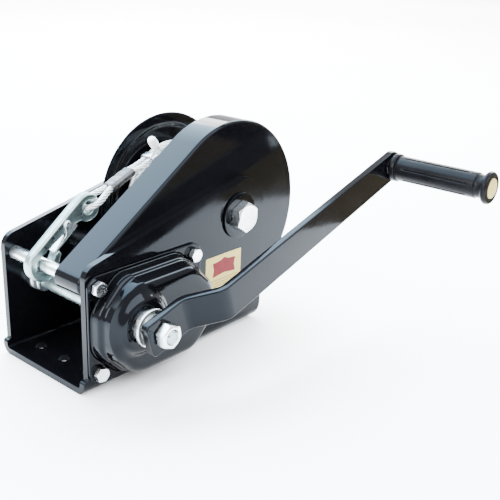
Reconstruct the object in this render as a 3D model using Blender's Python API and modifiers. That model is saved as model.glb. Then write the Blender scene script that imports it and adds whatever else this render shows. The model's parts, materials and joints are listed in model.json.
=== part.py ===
"""A hand-cranked boat trailer winch with an automatic brake.

A bent plate frame carries a rope drum on a fixed axle. The crank turns the drive shaft, which drives
the drum through two pairs of spur gears under a pressed guard. A ratchet brake sits on the drive
shaft outside the near side plate, under its own pressed cover.

+X runs towards the drum, -Y towards the crank and +Z up. The origin is on the underside of the
base, ORIGIN behind the side plates' front edges and midway between them. Lengths are in metres.

Pieces are placed from the side plates' front edges, under one empty that moves them to the origin.
Most are made in a side frame: x runs along +X, y runs up, and z runs out through the crank, with
z = 0 on the outer face of the near side plate.
"""
import math

import bmesh
import bpy
from mathutils import Euler, Matrix, Vector

MM = 0.001
GAP = 0.3 * MM
MERGE = 0.00001

# Frame
ORIGIN = 90 * MM
FRAME_WIDTH = 99 * MM
FRAME_LENGTH = 188 * MM
PLATE = 5 * MM
BEND_RADIUS = 8 * MM
FRONT_HEIGHT = 95 * MM
NEAR_FACE = -FRAME_WIDTH / 2
FAR_INSIDE = -(FRAME_WIDTH - PLATE)
FAR_OUTSIDE = -FRAME_WIDTH
CORNER = 10 * MM
BASE_HOLE_RADIUS = 5 * MM
FRONT_HOLES = (-29 * MM, 0.0, 29 * MM)
FRONT_HOLE_X = 16 * MM
LIP = 3.5 * MM
LIP_TOP = 11 * MM
LIP_CORNER = 2 * MM
REAR_SLOT_X = 150 * MM
REAR_SLOTS = (-24 * MM, 24 * MM)
REAR_SLOT_HALF = 4 * MM

# Axes, as (x, z)
AXLE = (156 * MM, 100 * MM)
SHAFT = (28.4 * MM, 55.6 * MM)
TIE = (8.6 * MM, 81 * MM)

# Gears: the module and the tooth counts set the countershaft's place
FIRST_MODULE = 2 * MM
SECOND_MODULE = 2.5 * MM
DRIVE_TEETH = 15
COUNTER_GEAR_TEETH = 38
COUNTER_PINION_TEETH = 12
DRUM_TEETH = 54
TEETH_HEIGHT = 0.75
TEETH_DEPTH = 1.05
BACKLASH = 0.25 * MM
PRESSURE_ANGLE = math.radians(20)
FIRST_LAYER = (-17.5 * MM, -9.5 * MM)
SECOND_LAYER = (-29.5 * MM, -19.5 * MM)

# Guard
GUARD_RADIUS = 77 * MM
GUARD_NOSE = 9.6 * MM
GUARD_SHEET = 2 * MM
GUARD_FACE = -(PLATE + GAP)
GUARD_EDGE = -32.5 * MM
GUARD_REAR_ANGLE = math.radians(-48)

# Drum
ROUND_END = 32 * MM
AXLE_RADIUS = 7 * MM
BARREL_RADIUS = 22 * MM
BARREL_BORE = 10.5 * MM
FLANGE_RADIUS = 71 * MM
FLANGE_SHEET = 2 * MM
DRUM_NEAR = -30 * MM
DRUM_FAR = -92.6 * MM
WINDING_RADIUS = 48 * MM
WINDING_NEAR = -32.6 * MM
WINDING_FAR = -85.4 * MM

# Rope and hook
ROPE = 2.5 * MM
HOOK_Y = 11 * MM
DRUM_ROPE_Y = 22 * MM
EYE = (49 * MM, 116 * MM)
EYE_PATH = 8 * MM
HOOK_BAR = 3.6 * MM
BOWL_PATH = 9.8 * MM
LATCH_PIVOT = (33 * MM, 6.6 * MM)
LATCH_PIN = 1.4 * MM
LATCH_HALF = 5.2 * MM
TIE_RADIUS = 5 * MM
FERRULE_LENGTH = 26 * MM
FERRULE_START = 27 * MM
FERRULE_HALF = 6.2 * MM
CLIP_DISTANCE = 71 * MM
TAIL_OFFSET = 6.2 * MM

# Brake and crank, as distances out from the near side plate
COVER_SHEET = 2 * MM
COVER_DEPTH = 25 * MM
COVER_STEPS = ((0.0, 1.3 * MM), (0.5 * MM, 9 * MM), (2 * MM, 11 * MM), (3 * MM, 21 * MM),
               (4.5 * MM, 24 * MM), (7.5 * MM, COVER_DEPTH))
BOSS_DEPTH = 30 * MM
BOSS_RADIUS = 24 * MM
SHAFT_RADIUS = 7 * MM
THREAD_RADIUS = 6 * MM
STUD_RADIUS = 5 * MM
RATCHET_TEETH = 12
RATCHET_TIP = 19.6 * MM
RATCHET_ROOT = 16.2 * MM
RATCHET_LAYER = (8.4 * MM, 13.4 * MM)
PAWL_PIVOT = (66 * MM, 40 * MM)
PAWL_CONTACT = 18 * MM
PAWL_PLAY = math.radians(1.3)
ARM_ANGLE = math.atan(0.301)
ARM_WIDTH = 26 * MM
ARM_THICKNESS = 6.4 * MM
ARM_LENGTH = 266 * MM
ARM_LOW = 40.8 * MM
ARM_HIGH = 59.6 * MM
BEND_START = 24 * MM
BEND_END = 46 * MM
COVER_BOLTS = {
    "cover_bolt_top_front": TIE,
    "cover_bolt_bottom_front": (TIE[0], 15.6 * MM),
    "cover_bolt_top_rear": (101.2 * MM, TIE[1]),
    "cover_bolt_bottom_rear": (101.2 * MM, 15.6 * MM),
}

# Grip
GRIP_START = ARM_HIGH + ARM_THICKNESS + 2.1 * MM
GRIP_LENGTH = 90 * MM
GRIP_RADIUS = 10.8 * MM
PIN_RADIUS = 4 * MM

# Colour, roughness and metallic value of each finish
FINISHES = {
    "black_paint": ((0.012, 0.012, 0.014, 1), 0.18, 0.0),
    "zinc": ((0.72, 0.73, 0.74, 1), 0.32, 1.0),
    "steel": ((0.45, 0.45, 0.46, 1), 0.4, 1.0),
    "brass": ((0.62, 0.45, 0.18, 1), 0.35, 1.0),
    "friction": ((0.10, 0.07, 0.05, 1), 0.9, 0.0),
    "black_plastic": ((0.015, 0.015, 0.015, 1), 0.5, 0.0),
    "cream_plastic": ((0.80, 0.72, 0.50, 1), 0.45, 0.0),
    "rope": ((0.70, 0.71, 0.72, 1), 0.38, 1.0),
}


# ---------------------------------------------------------------- helpers

def clear_scene():
    for obj in list(bpy.data.objects):
        bpy.data.objects.remove(obj, do_unlink=True)


def make_collection(name):
    collection = bpy.data.collections.new(name)
    bpy.context.scene.collection.children.link(collection)
    return collection


def make_material(name):
    colour, roughness, metallic = FINISHES[name]
    material = bpy.data.materials.new(name)
    material.use_nodes = True
    shader = material.node_tree.nodes["Principled BSDF"]
    shader.inputs["Base Color"].default_value = colour
    shader.inputs["Roughness"].default_value = roughness
    shader.inputs["Metallic"].default_value = metallic
    return material


def side_matrix(axis, turn=0.0):
    """The side frame at an axis given as (x, z), turned about the outward direction."""
    shift = Matrix.Translation((axis[0], NEAR_FACE, axis[1]))
    return shift @ Euler((math.pi / 2, -turn, 0)).to_matrix().to_4x4()


def place(obj, matrix):
    obj.parent = WINCH
    obj.matrix_local = matrix or Matrix.Identity(4)


def add_object(name, data, finish, matrix=None):
    obj = bpy.data.objects.new(name, data)
    PARTS.objects.link(obj)
    place(obj, matrix)
    own = MATERIALS[finish].copy()
    own.name = name
    data.materials.append(own)
    return obj


def add_cutter(name, data, matrix=None):
    obj = bpy.data.objects.new(name, data)
    CUTTERS.objects.link(obj)
    place(obj, matrix)
    obj.hide_render = True
    obj.display_type = "WIRE"
    return obj


def boolean(obj, cutter, operation="DIFFERENCE"):
    modifier = obj.modifiers.new(operation.lower(), "BOOLEAN")
    modifier.object = cutter
    modifier.operation = operation
    modifier.solver = "EXACT"


def smooth(mesh, angle=35):
    mesh.shade_smooth()
    mesh.set_sharp_from_angle(angle=math.radians(angle))


def arc(centre, radius, start, end, count):
    """Points on an arc, angles in radians."""
    points = []
    for i in range(count + 1):
        angle = start + (end - start) * i / count
        points.append((centre[0] + radius * math.cos(angle), centre[1] + radius * math.sin(angle)))
    return points


def circle(centre, radius, count=24):
    return arc(centre, radius, 0, 2 * math.pi, count)[:-1]


def rounded_polygon(corners, radius, count=5):
    """A convex polygon, anticlockwise, with every corner rounded. radius may be one per corner."""
    radii = radius if isinstance(radius, (list, tuple)) else [radius] * len(corners)
    points = []
    for i, corner in enumerate(corners):
        here = Vector(corner)
        before = (Vector(corners[i - 1]) - here).normalized()
        after = (Vector(corners[(i + 1) % len(corners)]) - here).normalized()
        half = before.angle(after) / 2
        centre = here + (before + after).normalized() * radii[i] / math.sin(half)
        start = math.atan2(-before.y, -before.x) - math.pi / 2
        sweep = math.pi - 2 * half
        points += arc(centre, radii[i], start, start + sweep, count)
    return points


def rectangle(low, high, radius, count=5):
    corners = [low, (high[0], low[1]), high, (low[0], high[1])]
    return rounded_polygon(corners, radius, count)


def curve_to_mesh(name, curve, offset=0.0):
    """A curve's filled shape as one welded mesh, moved along z by offset."""
    temporary = bpy.data.objects.new(name, curve)
    bpy.context.scene.collection.objects.link(temporary)
    graph = bpy.context.evaluated_depsgraph_get()
    mesh = bpy.data.meshes.new_from_object(temporary.evaluated_get(graph))
    bpy.data.objects.remove(temporary, do_unlink=True)
    bpy.data.curves.remove(curve)
    work = bmesh.new()
    work.from_mesh(mesh)
    bmesh.ops.remove_doubles(work, verts=work.verts, dist=MERGE)
    bmesh.ops.recalc_face_normals(work, faces=work.faces)
    bmesh.ops.translate(work, verts=work.verts, vec=(0, 0, offset))
    work.to_mesh(mesh)
    work.free()
    mesh.name = name
    mesh.materials.clear()
    return mesh


def prism(name, outlines, low, high):
    """A flat piece: the first outline is its edge and any others are holes. z runs low to high."""
    curve = bpy.data.curves.new(name, "CURVE")
    curve.dimensions = "2D"
    curve.fill_mode = "BOTH"
    curve.extrude = (high - low) / 2
    for outline in outlines:
        spline = curve.splines.new("POLY")
        spline.points.add(len(outline) - 1)
        for point, (x, y) in zip(spline.points, outline):
            point.co = (x, y, 0, 1)
        spline.use_cyclic_u = True
    mesh = curve_to_mesh(name, curve, (low + high) / 2)
    smooth(mesh)
    return mesh


def tube(name, points, radius, resolution=2):
    """A bar or rope along a list of points."""
    curve = bpy.data.curves.new(name, "CURVE")
    curve.dimensions = "3D"
    curve.bevel_depth = radius
    curve.bevel_resolution = resolution
    curve.use_fill_caps = True
    spline = curve.splines.new("POLY")
    spline.points.add(len(points) - 1)
    for point, position in zip(spline.points, points):
        point.co = (*position, 1)
    mesh = curve_to_mesh(name, curve)
    smooth(mesh, 50)
    return mesh


def turned(name, profile, finish, matrix, steps=16):
    """A turned piece about z. The profile, (radius, z), runs down its outer side; a ring's closes."""
    mesh = bpy.data.meshes.new(name)
    points = [(radius, 0, z) for radius, z in profile]
    edges = [(i, i + 1) for i in range(len(points) - 1)]
    if profile[0][0] > 0:
        edges.append((len(points) - 1, 0))
    mesh.from_pydata(points, edges, [])
    obj = add_object(name, mesh, finish, matrix)
    screw = obj.modifiers.new("turn", "SCREW")
    screw.axis = "Z"
    screw.steps = steps
    screw.render_steps = steps
    screw.use_merge_vertices = True
    screw.merge_threshold = MERGE
    screw.use_smooth_shade = False
    return obj


def ring_profile(outer, inner, low, high):
    return [(outer, high), (outer, low), (inner, low), (inner, high)]


def rod_profile(radius, low, high, edge=0.0):
    if edge == 0:
        return [(0, high), (radius, high), (radius, low), (0, low)]
    return [(0, high), (radius - edge, high), (radius, high - edge),
            (radius, low + edge), (radius - edge, low), (0, low)]


def cylinders(name, places, radius, low, high, count=16):
    """Several cylinders in one cutter, each along z of the side frame at an axis (x, z)."""
    work = bmesh.new()
    for axis, size in zip(places, radius):
        middle = Matrix.Translation((*axis, (low + high) / 2))
        bmesh.ops.create_cone(work, cap_ends=True, segments=count, radius1=size, radius2=size,
                              depth=high - low, matrix=middle)
    mesh = bpy.data.meshes.new(name)
    work.to_mesh(mesh)
    work.free()
    return add_cutter(name, mesh, side_matrix((0, 0)))


def loft(name, sections):
    """A closed solid through sections of equal point count. A section is (outline, z)."""
    work = bmesh.new()
    rings = []
    for outline, z in sections:
        rings.append([work.verts.new((x, y, z)) for x, y in outline])
    count = len(rings[0])
    for low, high in zip(rings, rings[1:]):
        for i in range(count):
            j = (i + 1) % count
            work.faces.new((low[i], low[j], high[j], high[i]))
    work.faces.new(list(reversed(rings[0])))
    work.faces.new(rings[-1])
    bmesh.ops.recalc_face_normals(work, faces=work.faces)
    mesh = bpy.data.meshes.new(name)
    work.to_mesh(mesh)
    work.free()
    return mesh


def hexagon(across, turn=0.0):
    radius = across / math.sqrt(3)
    return arc((0, 0), radius, turn, turn + 2 * math.pi, 6)[:-1]


# ---------------------------------------------------------------- gears

def gear_outline(teeth, module, phase):
    """Involute teeth with stub tips. A tooth is centred on the phase angle."""
    pitch = teeth * module / 2
    base = pitch * math.cos(PRESSURE_ANGLE)
    tip = pitch + TEETH_HEIGHT * module
    root = pitch - TEETH_DEPTH * module
    half_pitch = (math.pi * module / 2 - BACKLASH) / (2 * pitch)
    roll = math.tan(PRESSURE_ANGLE) - PRESSURE_ANGLE

    def half_angle(radius):
        if radius <= base:
            return half_pitch + roll
        pressure = math.acos(base / radius)
        return half_pitch + roll - (math.tan(pressure) - pressure)

    start = max(root, base)
    radii = [start, (start + tip) / 2, tip]
    if root < base:
        radii.insert(0, root)
    points = []
    for i in range(teeth):
        middle = phase + 2 * math.pi * i / teeth
        for radius in radii:
            angle = middle - half_angle(radius)
            points.append((radius * math.cos(angle), radius * math.sin(angle)))
        for radius in reversed(radii):
            angle = middle + half_angle(radius)
            points.append((radius * math.cos(angle), radius * math.sin(angle)))
    return points


def countershaft_axis():
    """Where the two pairs of gears both mesh, on the lower side of the line between the axes."""
    first = FIRST_MODULE * (DRIVE_TEETH + COUNTER_GEAR_TEETH) / 2
    second = SECOND_MODULE * (COUNTER_PINION_TEETH + DRUM_TEETH) / 2
    start = Vector(SHAFT)
    line = Vector(AXLE) - start
    along = (line.length ** 2 + first ** 2 - second ** 2) / (2 * line.length)
    across = math.sqrt(first ** 2 - along ** 2)
    forward = line.normalized()
    below = Vector((forward.y, -forward.x))
    return tuple(start + forward * along + below * across)


def direction(start, end):
    return math.atan2(end[1] - start[1], end[0] - start[0])


def add_gear(name, teeth, module, phase, bore, layer, axis, holes=()):
    outlines = [gear_outline(teeth, module, phase), circle((0, 0), bore, 20)]
    mesh = prism(name, outlines + list(holes), *layer)
    return add_object(name, mesh, "steel", side_matrix(axis))


def gears(counter):
    """A tooth of each larger gear points at its pinion, where the pinion has a gap."""
    to_drum = direction(counter, AXLE)
    to_shaft = direction(counter, SHAFT)
    lightening = [circle((46 * MM * math.cos(a), 46 * MM * math.sin(a)), 9 * MM, 12)
                  for a in (i * math.pi / 3 for i in range(6))]
    add_gear("drum_gear", DRUM_TEETH, SECOND_MODULE, to_drum + math.pi, BARREL_RADIUS + GAP,
             SECOND_LAYER, AXLE, lightening)
    half_gap = math.pi / COUNTER_PINION_TEETH
    add_gear("countershaft_pinion", COUNTER_PINION_TEETH, SECOND_MODULE, to_drum + half_gap,
             6.3 * MM, SECOND_LAYER, counter)
    add_gear("countershaft_gear", COUNTER_GEAR_TEETH, FIRST_MODULE, to_shaft, 6.3 * MM,
             FIRST_LAYER, counter)
    half_gap = math.pi / DRIVE_TEETH
    add_gear("drive_pinion", DRIVE_TEETH, FIRST_MODULE, to_shaft + math.pi + half_gap,
             SHAFT_RADIUS + GAP, FIRST_LAYER, SHAFT)


# ---------------------------------------------------------------- frame, guard and fasteners

def side_outline():
    """The side plate: straight front with a lip at the base, slanted top, round rear end."""
    front_top = (0.0, FRONT_HEIGHT)
    to_axle = direction(front_top, AXLE)
    span = math.dist(front_top, AXLE)
    slope = to_axle + math.asin(ROUND_END / span)
    touch = slope + math.pi / 2
    end = arc(AXLE, ROUND_END, 0, touch, 12)
    front = rounded_polygon([(0, -10 * MM), (30 * MM, -10 * MM),
                             (30 * MM, FRONT_HEIGHT + 30 * MM * math.tan(slope)), front_top],
                            [0.01 * MM, 0.01 * MM, 0.01 * MM, CORNER])
    corner = [point for point in front if point[0] < 29 * MM and point[1] > 0]
    rear = AXLE[0] + ROUND_END
    bottom = arc((rear - 14 * MM, 14 * MM), 14 * MM, -math.pi / 2, 0, 6)
    lip = [(0, LIP_TOP + 1.5 * MM), (-0.45 * MM, LIP_TOP + 0.45 * MM), (-1.5 * MM, LIP_TOP)]
    lip += arc((LIP_CORNER - LIP, LIP_TOP - LIP_CORNER), LIP_CORNER, math.pi / 2, math.pi, 4)
    foot = [(-LIP, -2 * MM), (rear - 30 * MM, -2 * MM), (rear - 30 * MM, 0)]
    return foot + bottom + end + corner + lip


def frame(counter):
    """The bent plate, cut to the side outline and drilled."""
    half = FRAME_WIDTH / 2
    inner = BEND_RADIUS - PLATE
    top = AXLE[1] + ROUND_END + 10 * MM
    outside = [(-half, top)] + arc((-half + BEND_RADIUS, BEND_RADIUS), BEND_RADIUS,
                                   math.pi, 1.5 * math.pi, 6)
    inside = [(-half + PLATE, top)] + arc((-half + BEND_RADIUS, BEND_RADIUS), inner,
                                          math.pi, 1.5 * math.pi, 6)
    left = outside + [(-x, y) for x, y in reversed(outside)]
    right = inside + [(-x, y) for x, y in reversed(inside)]
    along = Matrix.Rotation(math.pi / 2, 4, "Z") @ Matrix.Rotation(math.pi / 2, 4, "X")
    mesh = prism("frame_plate", [left + right[::-1]], -LIP - 0.01 * MM, FRAME_LENGTH + 5 * MM)
    mesh.transform(along)
    obj = add_object("frame_plate", mesh, "black_paint")
    outline = prism("frame_outline", [side_outline()], -FRAME_WIDTH - 5 * MM, 5 * MM)
    boolean(obj, add_cutter("frame_outline", outline, side_matrix((0, 0))), "INTERSECT")
    bores = [AXLE, SHAFT, TIE, counter]
    radii = [AXLE_RADIUS + GAP, 9 * MM, TIE_RADIUS + GAP, 6.3 * MM]
    boolean(obj, cylinders("frame_bores", bores, radii, -FRAME_WIDTH - 5 * MM, 5 * MM))
    threads = [axis for name, axis in COVER_BOLTS.items() if name != "cover_bolt_top_front"]
    boolean(obj, cylinders("cover_bolt_bores", threads, [3.3 * MM] * 3, -PLATE - 2 * MM, 5 * MM, 12))
    boolean(obj, base_holes())


def base_holes():
    """Three round holes at the front of the base and two slots at the rear."""
    work = bmesh.new()
    for y in FRONT_HOLES:
        bmesh.ops.create_cone(work, cap_ends=True, segments=16, radius1=BASE_HOLE_RADIUS,
                              radius2=BASE_HOLE_RADIUS, depth=20 * MM,
                              matrix=Matrix.Translation((FRONT_HOLE_X, y, 0)))
    mesh = bpy.data.meshes.new("base_holes")
    for y in REAR_SLOTS:
        front = REAR_SLOT_X - REAR_SLOT_HALF
        rear = REAR_SLOT_X + REAR_SLOT_HALF
        outline = arc((front, y), BASE_HOLE_RADIUS, math.pi / 2, 1.5 * math.pi, 6)
        outline += arc((rear, y), BASE_HOLE_RADIUS, -math.pi / 2, math.pi / 2, 6)
        slot = prism("rear_slot", [outline], -10 * MM, 10 * MM)
        work.from_mesh(slot)
    work.to_mesh(mesh)
    work.free()
    return add_cutter("base_holes", mesh)


def guard_outline(shrink):
    """A nose round the tie rod, a straight top, then round the gear to the rear."""
    nose = GUARD_NOSE - shrink
    radius = GUARD_RADIUS - shrink
    line = direction(TIE, AXLE)
    slope = line + math.asin((GUARD_RADIUS - GUARD_NOSE) / math.dist(TIE, AXLE))
    touch = slope + math.pi / 2
    points = arc(AXLE, radius, GUARD_REAR_ANGLE, touch, 26)
    points += arc(TIE, nose, touch, 1.5 * math.pi, 6)
    return points


def guard():
    outer = prism("gear_guard", [guard_outline(0)], GUARD_EDGE, GUARD_FACE)
    obj = add_object("gear_guard", outer, "black_paint", side_matrix((0, 0)))
    inner = guard_outline(GUARD_SHEET)
    lower = [(inner[-1][0], -20 * MM), (inner[0][0] + 3 * MM, -20 * MM)]
    hollow = prism("guard_hollow", [inner + lower], GUARD_EDGE - 10 * MM, GUARD_FACE - GUARD_SHEET)
    boolean(obj, add_cutter("guard_hollow", hollow, side_matrix((0, 0))))
    places = [AXLE, TIE, countershaft_axis()]
    radii = [AXLE_RADIUS + GAP, TIE_RADIUS + GAP, 6.3 * MM]
    boolean(obj, cylinders("guard_bores", places, radii, -20 * MM, 5 * MM))


def hex_piece(name, finish, matrix, across, low, high, bore=0.0, shank=None, turn=0.0):
    """A nut, or a bolt whose shank, (radius, low end), runs down from its head."""
    outlines = [hexagon(across, turn)]
    if bore:
        outlines.append(circle((0, 0), bore, 16))
    obj = add_object(name, prism(name, outlines, low, high), finish, matrix)
    edge = across * 0.5
    crown = [(0, high + 0.01 * MM), (edge - 0.2 * MM, high + 0.01 * MM),
             (edge + across * 0.1, high - across * 0.06), (edge + across * 0.1, low - 1 * MM),
             (0, low - 1 * MM)]
    cutter = turned(name + "_crown", crown, finish, matrix, 12)
    make_cutter(cutter)
    boolean(obj, cutter, "INTERSECT")
    if shank:
        radius, end = shank
        body = turned(name + "_shank", rod_profile(radius, end, low + 1 * MM), finish, matrix)
        make_cutter(body)
        boolean(obj, body, "UNION")
    return obj


def make_cutter(obj):
    PARTS.objects.unlink(obj)
    CUTTERS.objects.link(obj)
    obj.hide_render = True
    obj.display_type = "WIRE"


def far_matrix(axis):
    """A side frame on the far plate's outer face, with z running out, away from the crank."""
    shift = Matrix.Translation((axis[0], NEAR_FACE + FRAME_WIDTH, axis[1]))
    return shift @ Euler((-math.pi / 2, 0, 0)).to_matrix().to_4x4()


def tie_rod():
    profile = open_bore_rod(TIE_RADIUS, FAR_OUTSIDE, -GAP, 3.3 * MM, 14 * MM)
    turned("tie_rod", profile, "zinc", side_matrix(TIE))
    outside = far_matrix(TIE)
    turned("tie_rod_washer", ring_profile(8.5 * MM, 3.3 * MM, GAP, 1.9 * MM), "zinc", outside)
    hex_piece("tie_rod_bolt", "zinc", outside, 10 * MM, 2.2 * MM, 6.4 * MM)


def open_bore_rod(radius, low, high, bore, depth):
    """A rod with a blind bore in its top end."""
    return [(0, high - depth), (bore, high - depth), (bore, high), (radius, high),
            (radius, low), (0, low)]


def axle():
    side = side_matrix(AXLE)
    turned("axle_washer", ring_profile(19 * MM, AXLE_RADIUS + GAP, GAP, 1.9 * MM), "black_paint",
           side, 24)
    hex_piece("axle_bolt", "zinc", side, 22 * MM, 2.2 * MM, 10.6 * MM,
              shank=(AXLE_RADIUS, FAR_OUTSIDE - 15 * MM), turn=math.radians(-4))
    outside = far_matrix(AXLE)
    turned("axle_washer_far", ring_profile(14 * MM, AXLE_RADIUS + GAP, GAP, 2.4 * MM), "zinc",
           outside)
    hex_piece("axle_nut", "zinc", outside, 22 * MM, 2.7 * MM, 12.7 * MM, bore=AXLE_RADIUS + GAP)


# ---------------------------------------------------------------- drum, countershaft and drive shaft

def drum():
    side = side_matrix(AXLE)
    turned("drum_barrel", ring_profile(BARREL_RADIUS, BARREL_BORE, DRUM_FAR,
                                       SECOND_LAYER[1] + 3 * MM), "steel", side, 32)
    near = ring_profile(66 * MM, BARREL_RADIUS + GAP, DRUM_NEAR - 2.1 * MM, DRUM_NEAR)
    turned("drum_flange_near", near, "black_paint", side, 40)
    turned("drum_flange_far", far_flange_profile(), "black_paint", side, 48)
    inner = AXLE_RADIUS + GAP
    sleeve = BARREL_BORE - GAP
    collar = 15 * MM
    near_end = SECOND_LAYER[1] + 3 * MM
    turned("drum_bush_near", [(collar, near_end + 2.3 * MM), (collar, near_end + GAP),
                              (sleeve, near_end + GAP), (sleeve, near_end - 14 * MM),
                              (inner, near_end - 14 * MM), (inner, near_end + 2.3 * MM)],
           "brass", side)
    turned("drum_bush_far", [(sleeve, DRUM_FAR + 14 * MM), (sleeve, DRUM_FAR - GAP),
                             (collar, DRUM_FAR - GAP), (collar, DRUM_FAR - 1.1 * MM),
                             (inner, DRUM_FAR - 1.1 * MM), (inner, DRUM_FAR + 14 * MM)],
           "brass", side)
    turned("rope_winding", ring_profile(WINDING_RADIUS, BARREL_RADIUS + GAP, WINDING_FAR,
                                        WINDING_NEAR), "rope", side, 40)


def far_flange_profile():
    """A dished disc: a flat rim, then a step out towards the far plate."""
    rim = -86 * MM
    dish = -89.8 * MM
    bore = BARREL_RADIUS + GAP
    return [(FLANGE_RADIUS, rim), (FLANGE_RADIUS, rim - FLANGE_SHEET),
            (61 * MM, rim - FLANGE_SHEET), (57 * MM, dish - FLANGE_SHEET),
            (bore, dish - FLANGE_SHEET), (bore, dish), (58.5 * MM, dish), (62.5 * MM, rim)]


def clip_profile(radius, low):
    return ring_profile(radius + 3 * MM, radius + GAP, low, low + 1.2 * MM)


def countershaft(axis):
    side = side_matrix(axis)
    near = 1.9 * MM
    far = FAR_OUTSIDE - 3 * MM
    turned("countershaft", rod_profile(6 * MM, far, near, 0.6 * MM), "steel", side)
    turned("countershaft_clip_near", clip_profile(6 * MM, GAP), "steel", side)
    turned("countershaft_clip_far", clip_profile(6 * MM, FAR_OUTSIDE - 1.5 * MM), "steel", side)
    turned("countershaft_spacer", ring_profile(9 * MM, 6.3 * MM, FAR_INSIDE + GAP,
                                               SECOND_LAYER[0] - GAP), "zinc", side)


def drive_shaft():
    """The shaft, its two bushes, and the collar and ring beside the far plate."""
    side = side_matrix(SHAFT)
    tip = 57 * MM
    end = FAR_OUTSIDE - 4 * MM
    turned("drive_shaft", [(0, tip), (STUD_RADIUS - 0.8 * MM, tip), (STUD_RADIUS, tip - 0.8 * MM),
                           (STUD_RADIUS, ARM_LOW - 0.5 * MM), (THREAD_RADIUS, ARM_LOW - 0.5 * MM),
                           (THREAD_RADIUS, 2.2 * MM), (SHAFT_RADIUS, 2.2 * MM),
                           (SHAFT_RADIUS, FAR_INSIDE + GAP), (THREAD_RADIUS, FAR_INSIDE + GAP),
                           (THREAD_RADIUS, end), (0, end)], "zinc", side)
    bush = 8.7 * MM
    inner = SHAFT_RADIUS + GAP
    turned("shaft_bush_near", [(11 * MM, 1.9 * MM), (11 * MM, GAP), (bush, GAP), (bush, -PLATE),
                               (inner, -PLATE), (inner, 1.9 * MM)], "brass", side)
    inner = THREAD_RADIUS + GAP
    turned("shaft_bush_far", [(bush, FAR_INSIDE - GAP), (bush, FAR_OUTSIDE - GAP),
                              (11 * MM, FAR_OUTSIDE - GAP), (11 * MM, FAR_OUTSIDE - 1.9 * MM),
                              (inner, FAR_OUTSIDE - 1.9 * MM), (inner, FAR_INSIDE - GAP)],
           "brass", side)
    turned("shaft_clip_far", clip_profile(THREAD_RADIUS, FAR_OUTSIDE - 3.4 * MM), "steel", side)
    turned("shaft_ring", ring_profile(10.2 * MM, inner + 1 * MM, FAR_INSIDE + GAP,
                                      FAR_INSIDE + 4 * MM), "zinc", side)
    turned("shaft_collar", ring_profile(9.4 * MM, inner + 1 * MM, FAR_INSIDE + 4.3 * MM,
                                        FAR_INSIDE + 11 * MM), "zinc", side)


# ---------------------------------------------------------------- brake

def pawl_contact():
    """The angle on the ratchet where the pawl lies square to the radius, below the drive shaft."""
    reach = math.acos(PAWL_CONTACT / math.dist(SHAFT, PAWL_PIVOT))
    return direction(SHAFT, PAWL_PIVOT) - reach


def ratchet_outline():
    """Saw teeth, each with a steep face towards the pawl and a long back behind it."""
    points = []
    step = 2 * math.pi / RATCHET_TEETH
    face = pawl_contact() - PAWL_PLAY
    for i in range(RATCHET_TEETH):
        for back, radius in ((0, RATCHET_ROOT), (0.04, RATCHET_TIP), (0.2, RATCHET_TIP),
                             (0.66, RATCHET_ROOT)):
            angle = face - (i + back) * step
            points.append((radius * math.cos(angle), radius * math.sin(angle)))
    return points


def brake():
    side = side_matrix(SHAFT)
    bore = THREAD_RADIUS + GAP
    turned("brake_flange", ring_profile(18 * MM, bore, 2.3 * MM, 5.8 * MM), "steel", side, 24)
    turned("friction_disc_inner", ring_profile(16.6 * MM, bore, 6.1 * MM, 8.1 * MM), "friction",
           side, 24)
    turned("friction_disc_outer", ring_profile(16.6 * MM, bore, 13.7 * MM, 15.7 * MM), "friction",
           side, 24)
    mesh = prism("ratchet_wheel", [ratchet_outline(), circle((0, 0), bore)], *RATCHET_LAYER)
    add_object("ratchet_wheel", mesh, "steel", side)
    turned("brake_hub", [(12 * MM, 33.4 * MM), (12 * MM, 20 * MM), (18 * MM, 20 * MM),
                         (18 * MM, 16 * MM), (bore, 16 * MM), (bore, 40.4 * MM), (9 * MM, 40.4 * MM),
                         (9 * MM, 33.4 * MM)], "zinc", side, 24)
    turned("crank_collar", ring_profile(13.8 * MM, 9.3 * MM, 33.7 * MM, 36.4 * MM), "zinc", side, 24)


def pawl():
    """A pawl on its own pin, its tip between two teeth, with a wire spring round the pin."""
    side = side_matrix(PAWL_PIVOT)
    contact = pawl_contact()
    tip = (SHAFT[0] + PAWL_CONTACT * math.cos(contact), SHAFT[1] + PAWL_CONTACT * math.sin(contact))
    reach = math.dist(PAWL_PIVOT, tip)
    aim = direction(PAWL_PIVOT, tip)
    along = Vector((math.cos(aim), math.sin(aim)))
    inward = Vector((math.sin(aim), -math.cos(aim)))
    corners = ((reach - 8 * MM, -1.2 * MM), (reach, 1.2 * MM), (reach, -3 * MM))
    outline = [tuple(along * x + inward * y) for x, y in corners]
    outline += arc((0, 0), 6 * MM, aim + math.pi / 2, aim + 1.5 * math.pi, 10)
    mesh = prism("pawl", [outline, circle((0, 0), 3.3 * MM, 16)], *RATCHET_LAYER)
    add_object("pawl", mesh, "steel", side)
    turned("pawl_pin", rod_profile(3 * MM, GAP, 17 * MM, 0.4 * MM), "zinc", side)
    turned("pawl_clip", ring_profile(5.2 * MM, 3.3 * MM, 14.6 * MM, 15.6 * MM), "steel", side)
    coil = []
    turns = 3
    steps = 9
    for i in range(turns * steps + 1):
        angle = aim + 2 * math.pi * i / steps
        height = 1.6 * MM + 1.5 * MM * i / steps
        coil.append((4.4 * MM * math.cos(angle), 4.4 * MM * math.sin(angle), height))
    coil.append(tuple(Vector(coil[-1]) + along.to_3d() * 12 * MM))
    add_object("pawl_spring", tube("pawl_spring", coil, 0.55 * MM, 1), "steel", side)


def cover_bolts():
    for name, axis in COVER_BOLTS.items():
        low = COVER_SHEET + 2 * GAP
        length = 13 * MM if name == "cover_bolt_top_front" else PLATE - 0.3 * MM
        hex_piece(name, "zinc", side_matrix(axis), 10 * MM, low, low + 4.6 * MM,
                  shank=(3 * MM, -length))


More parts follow.
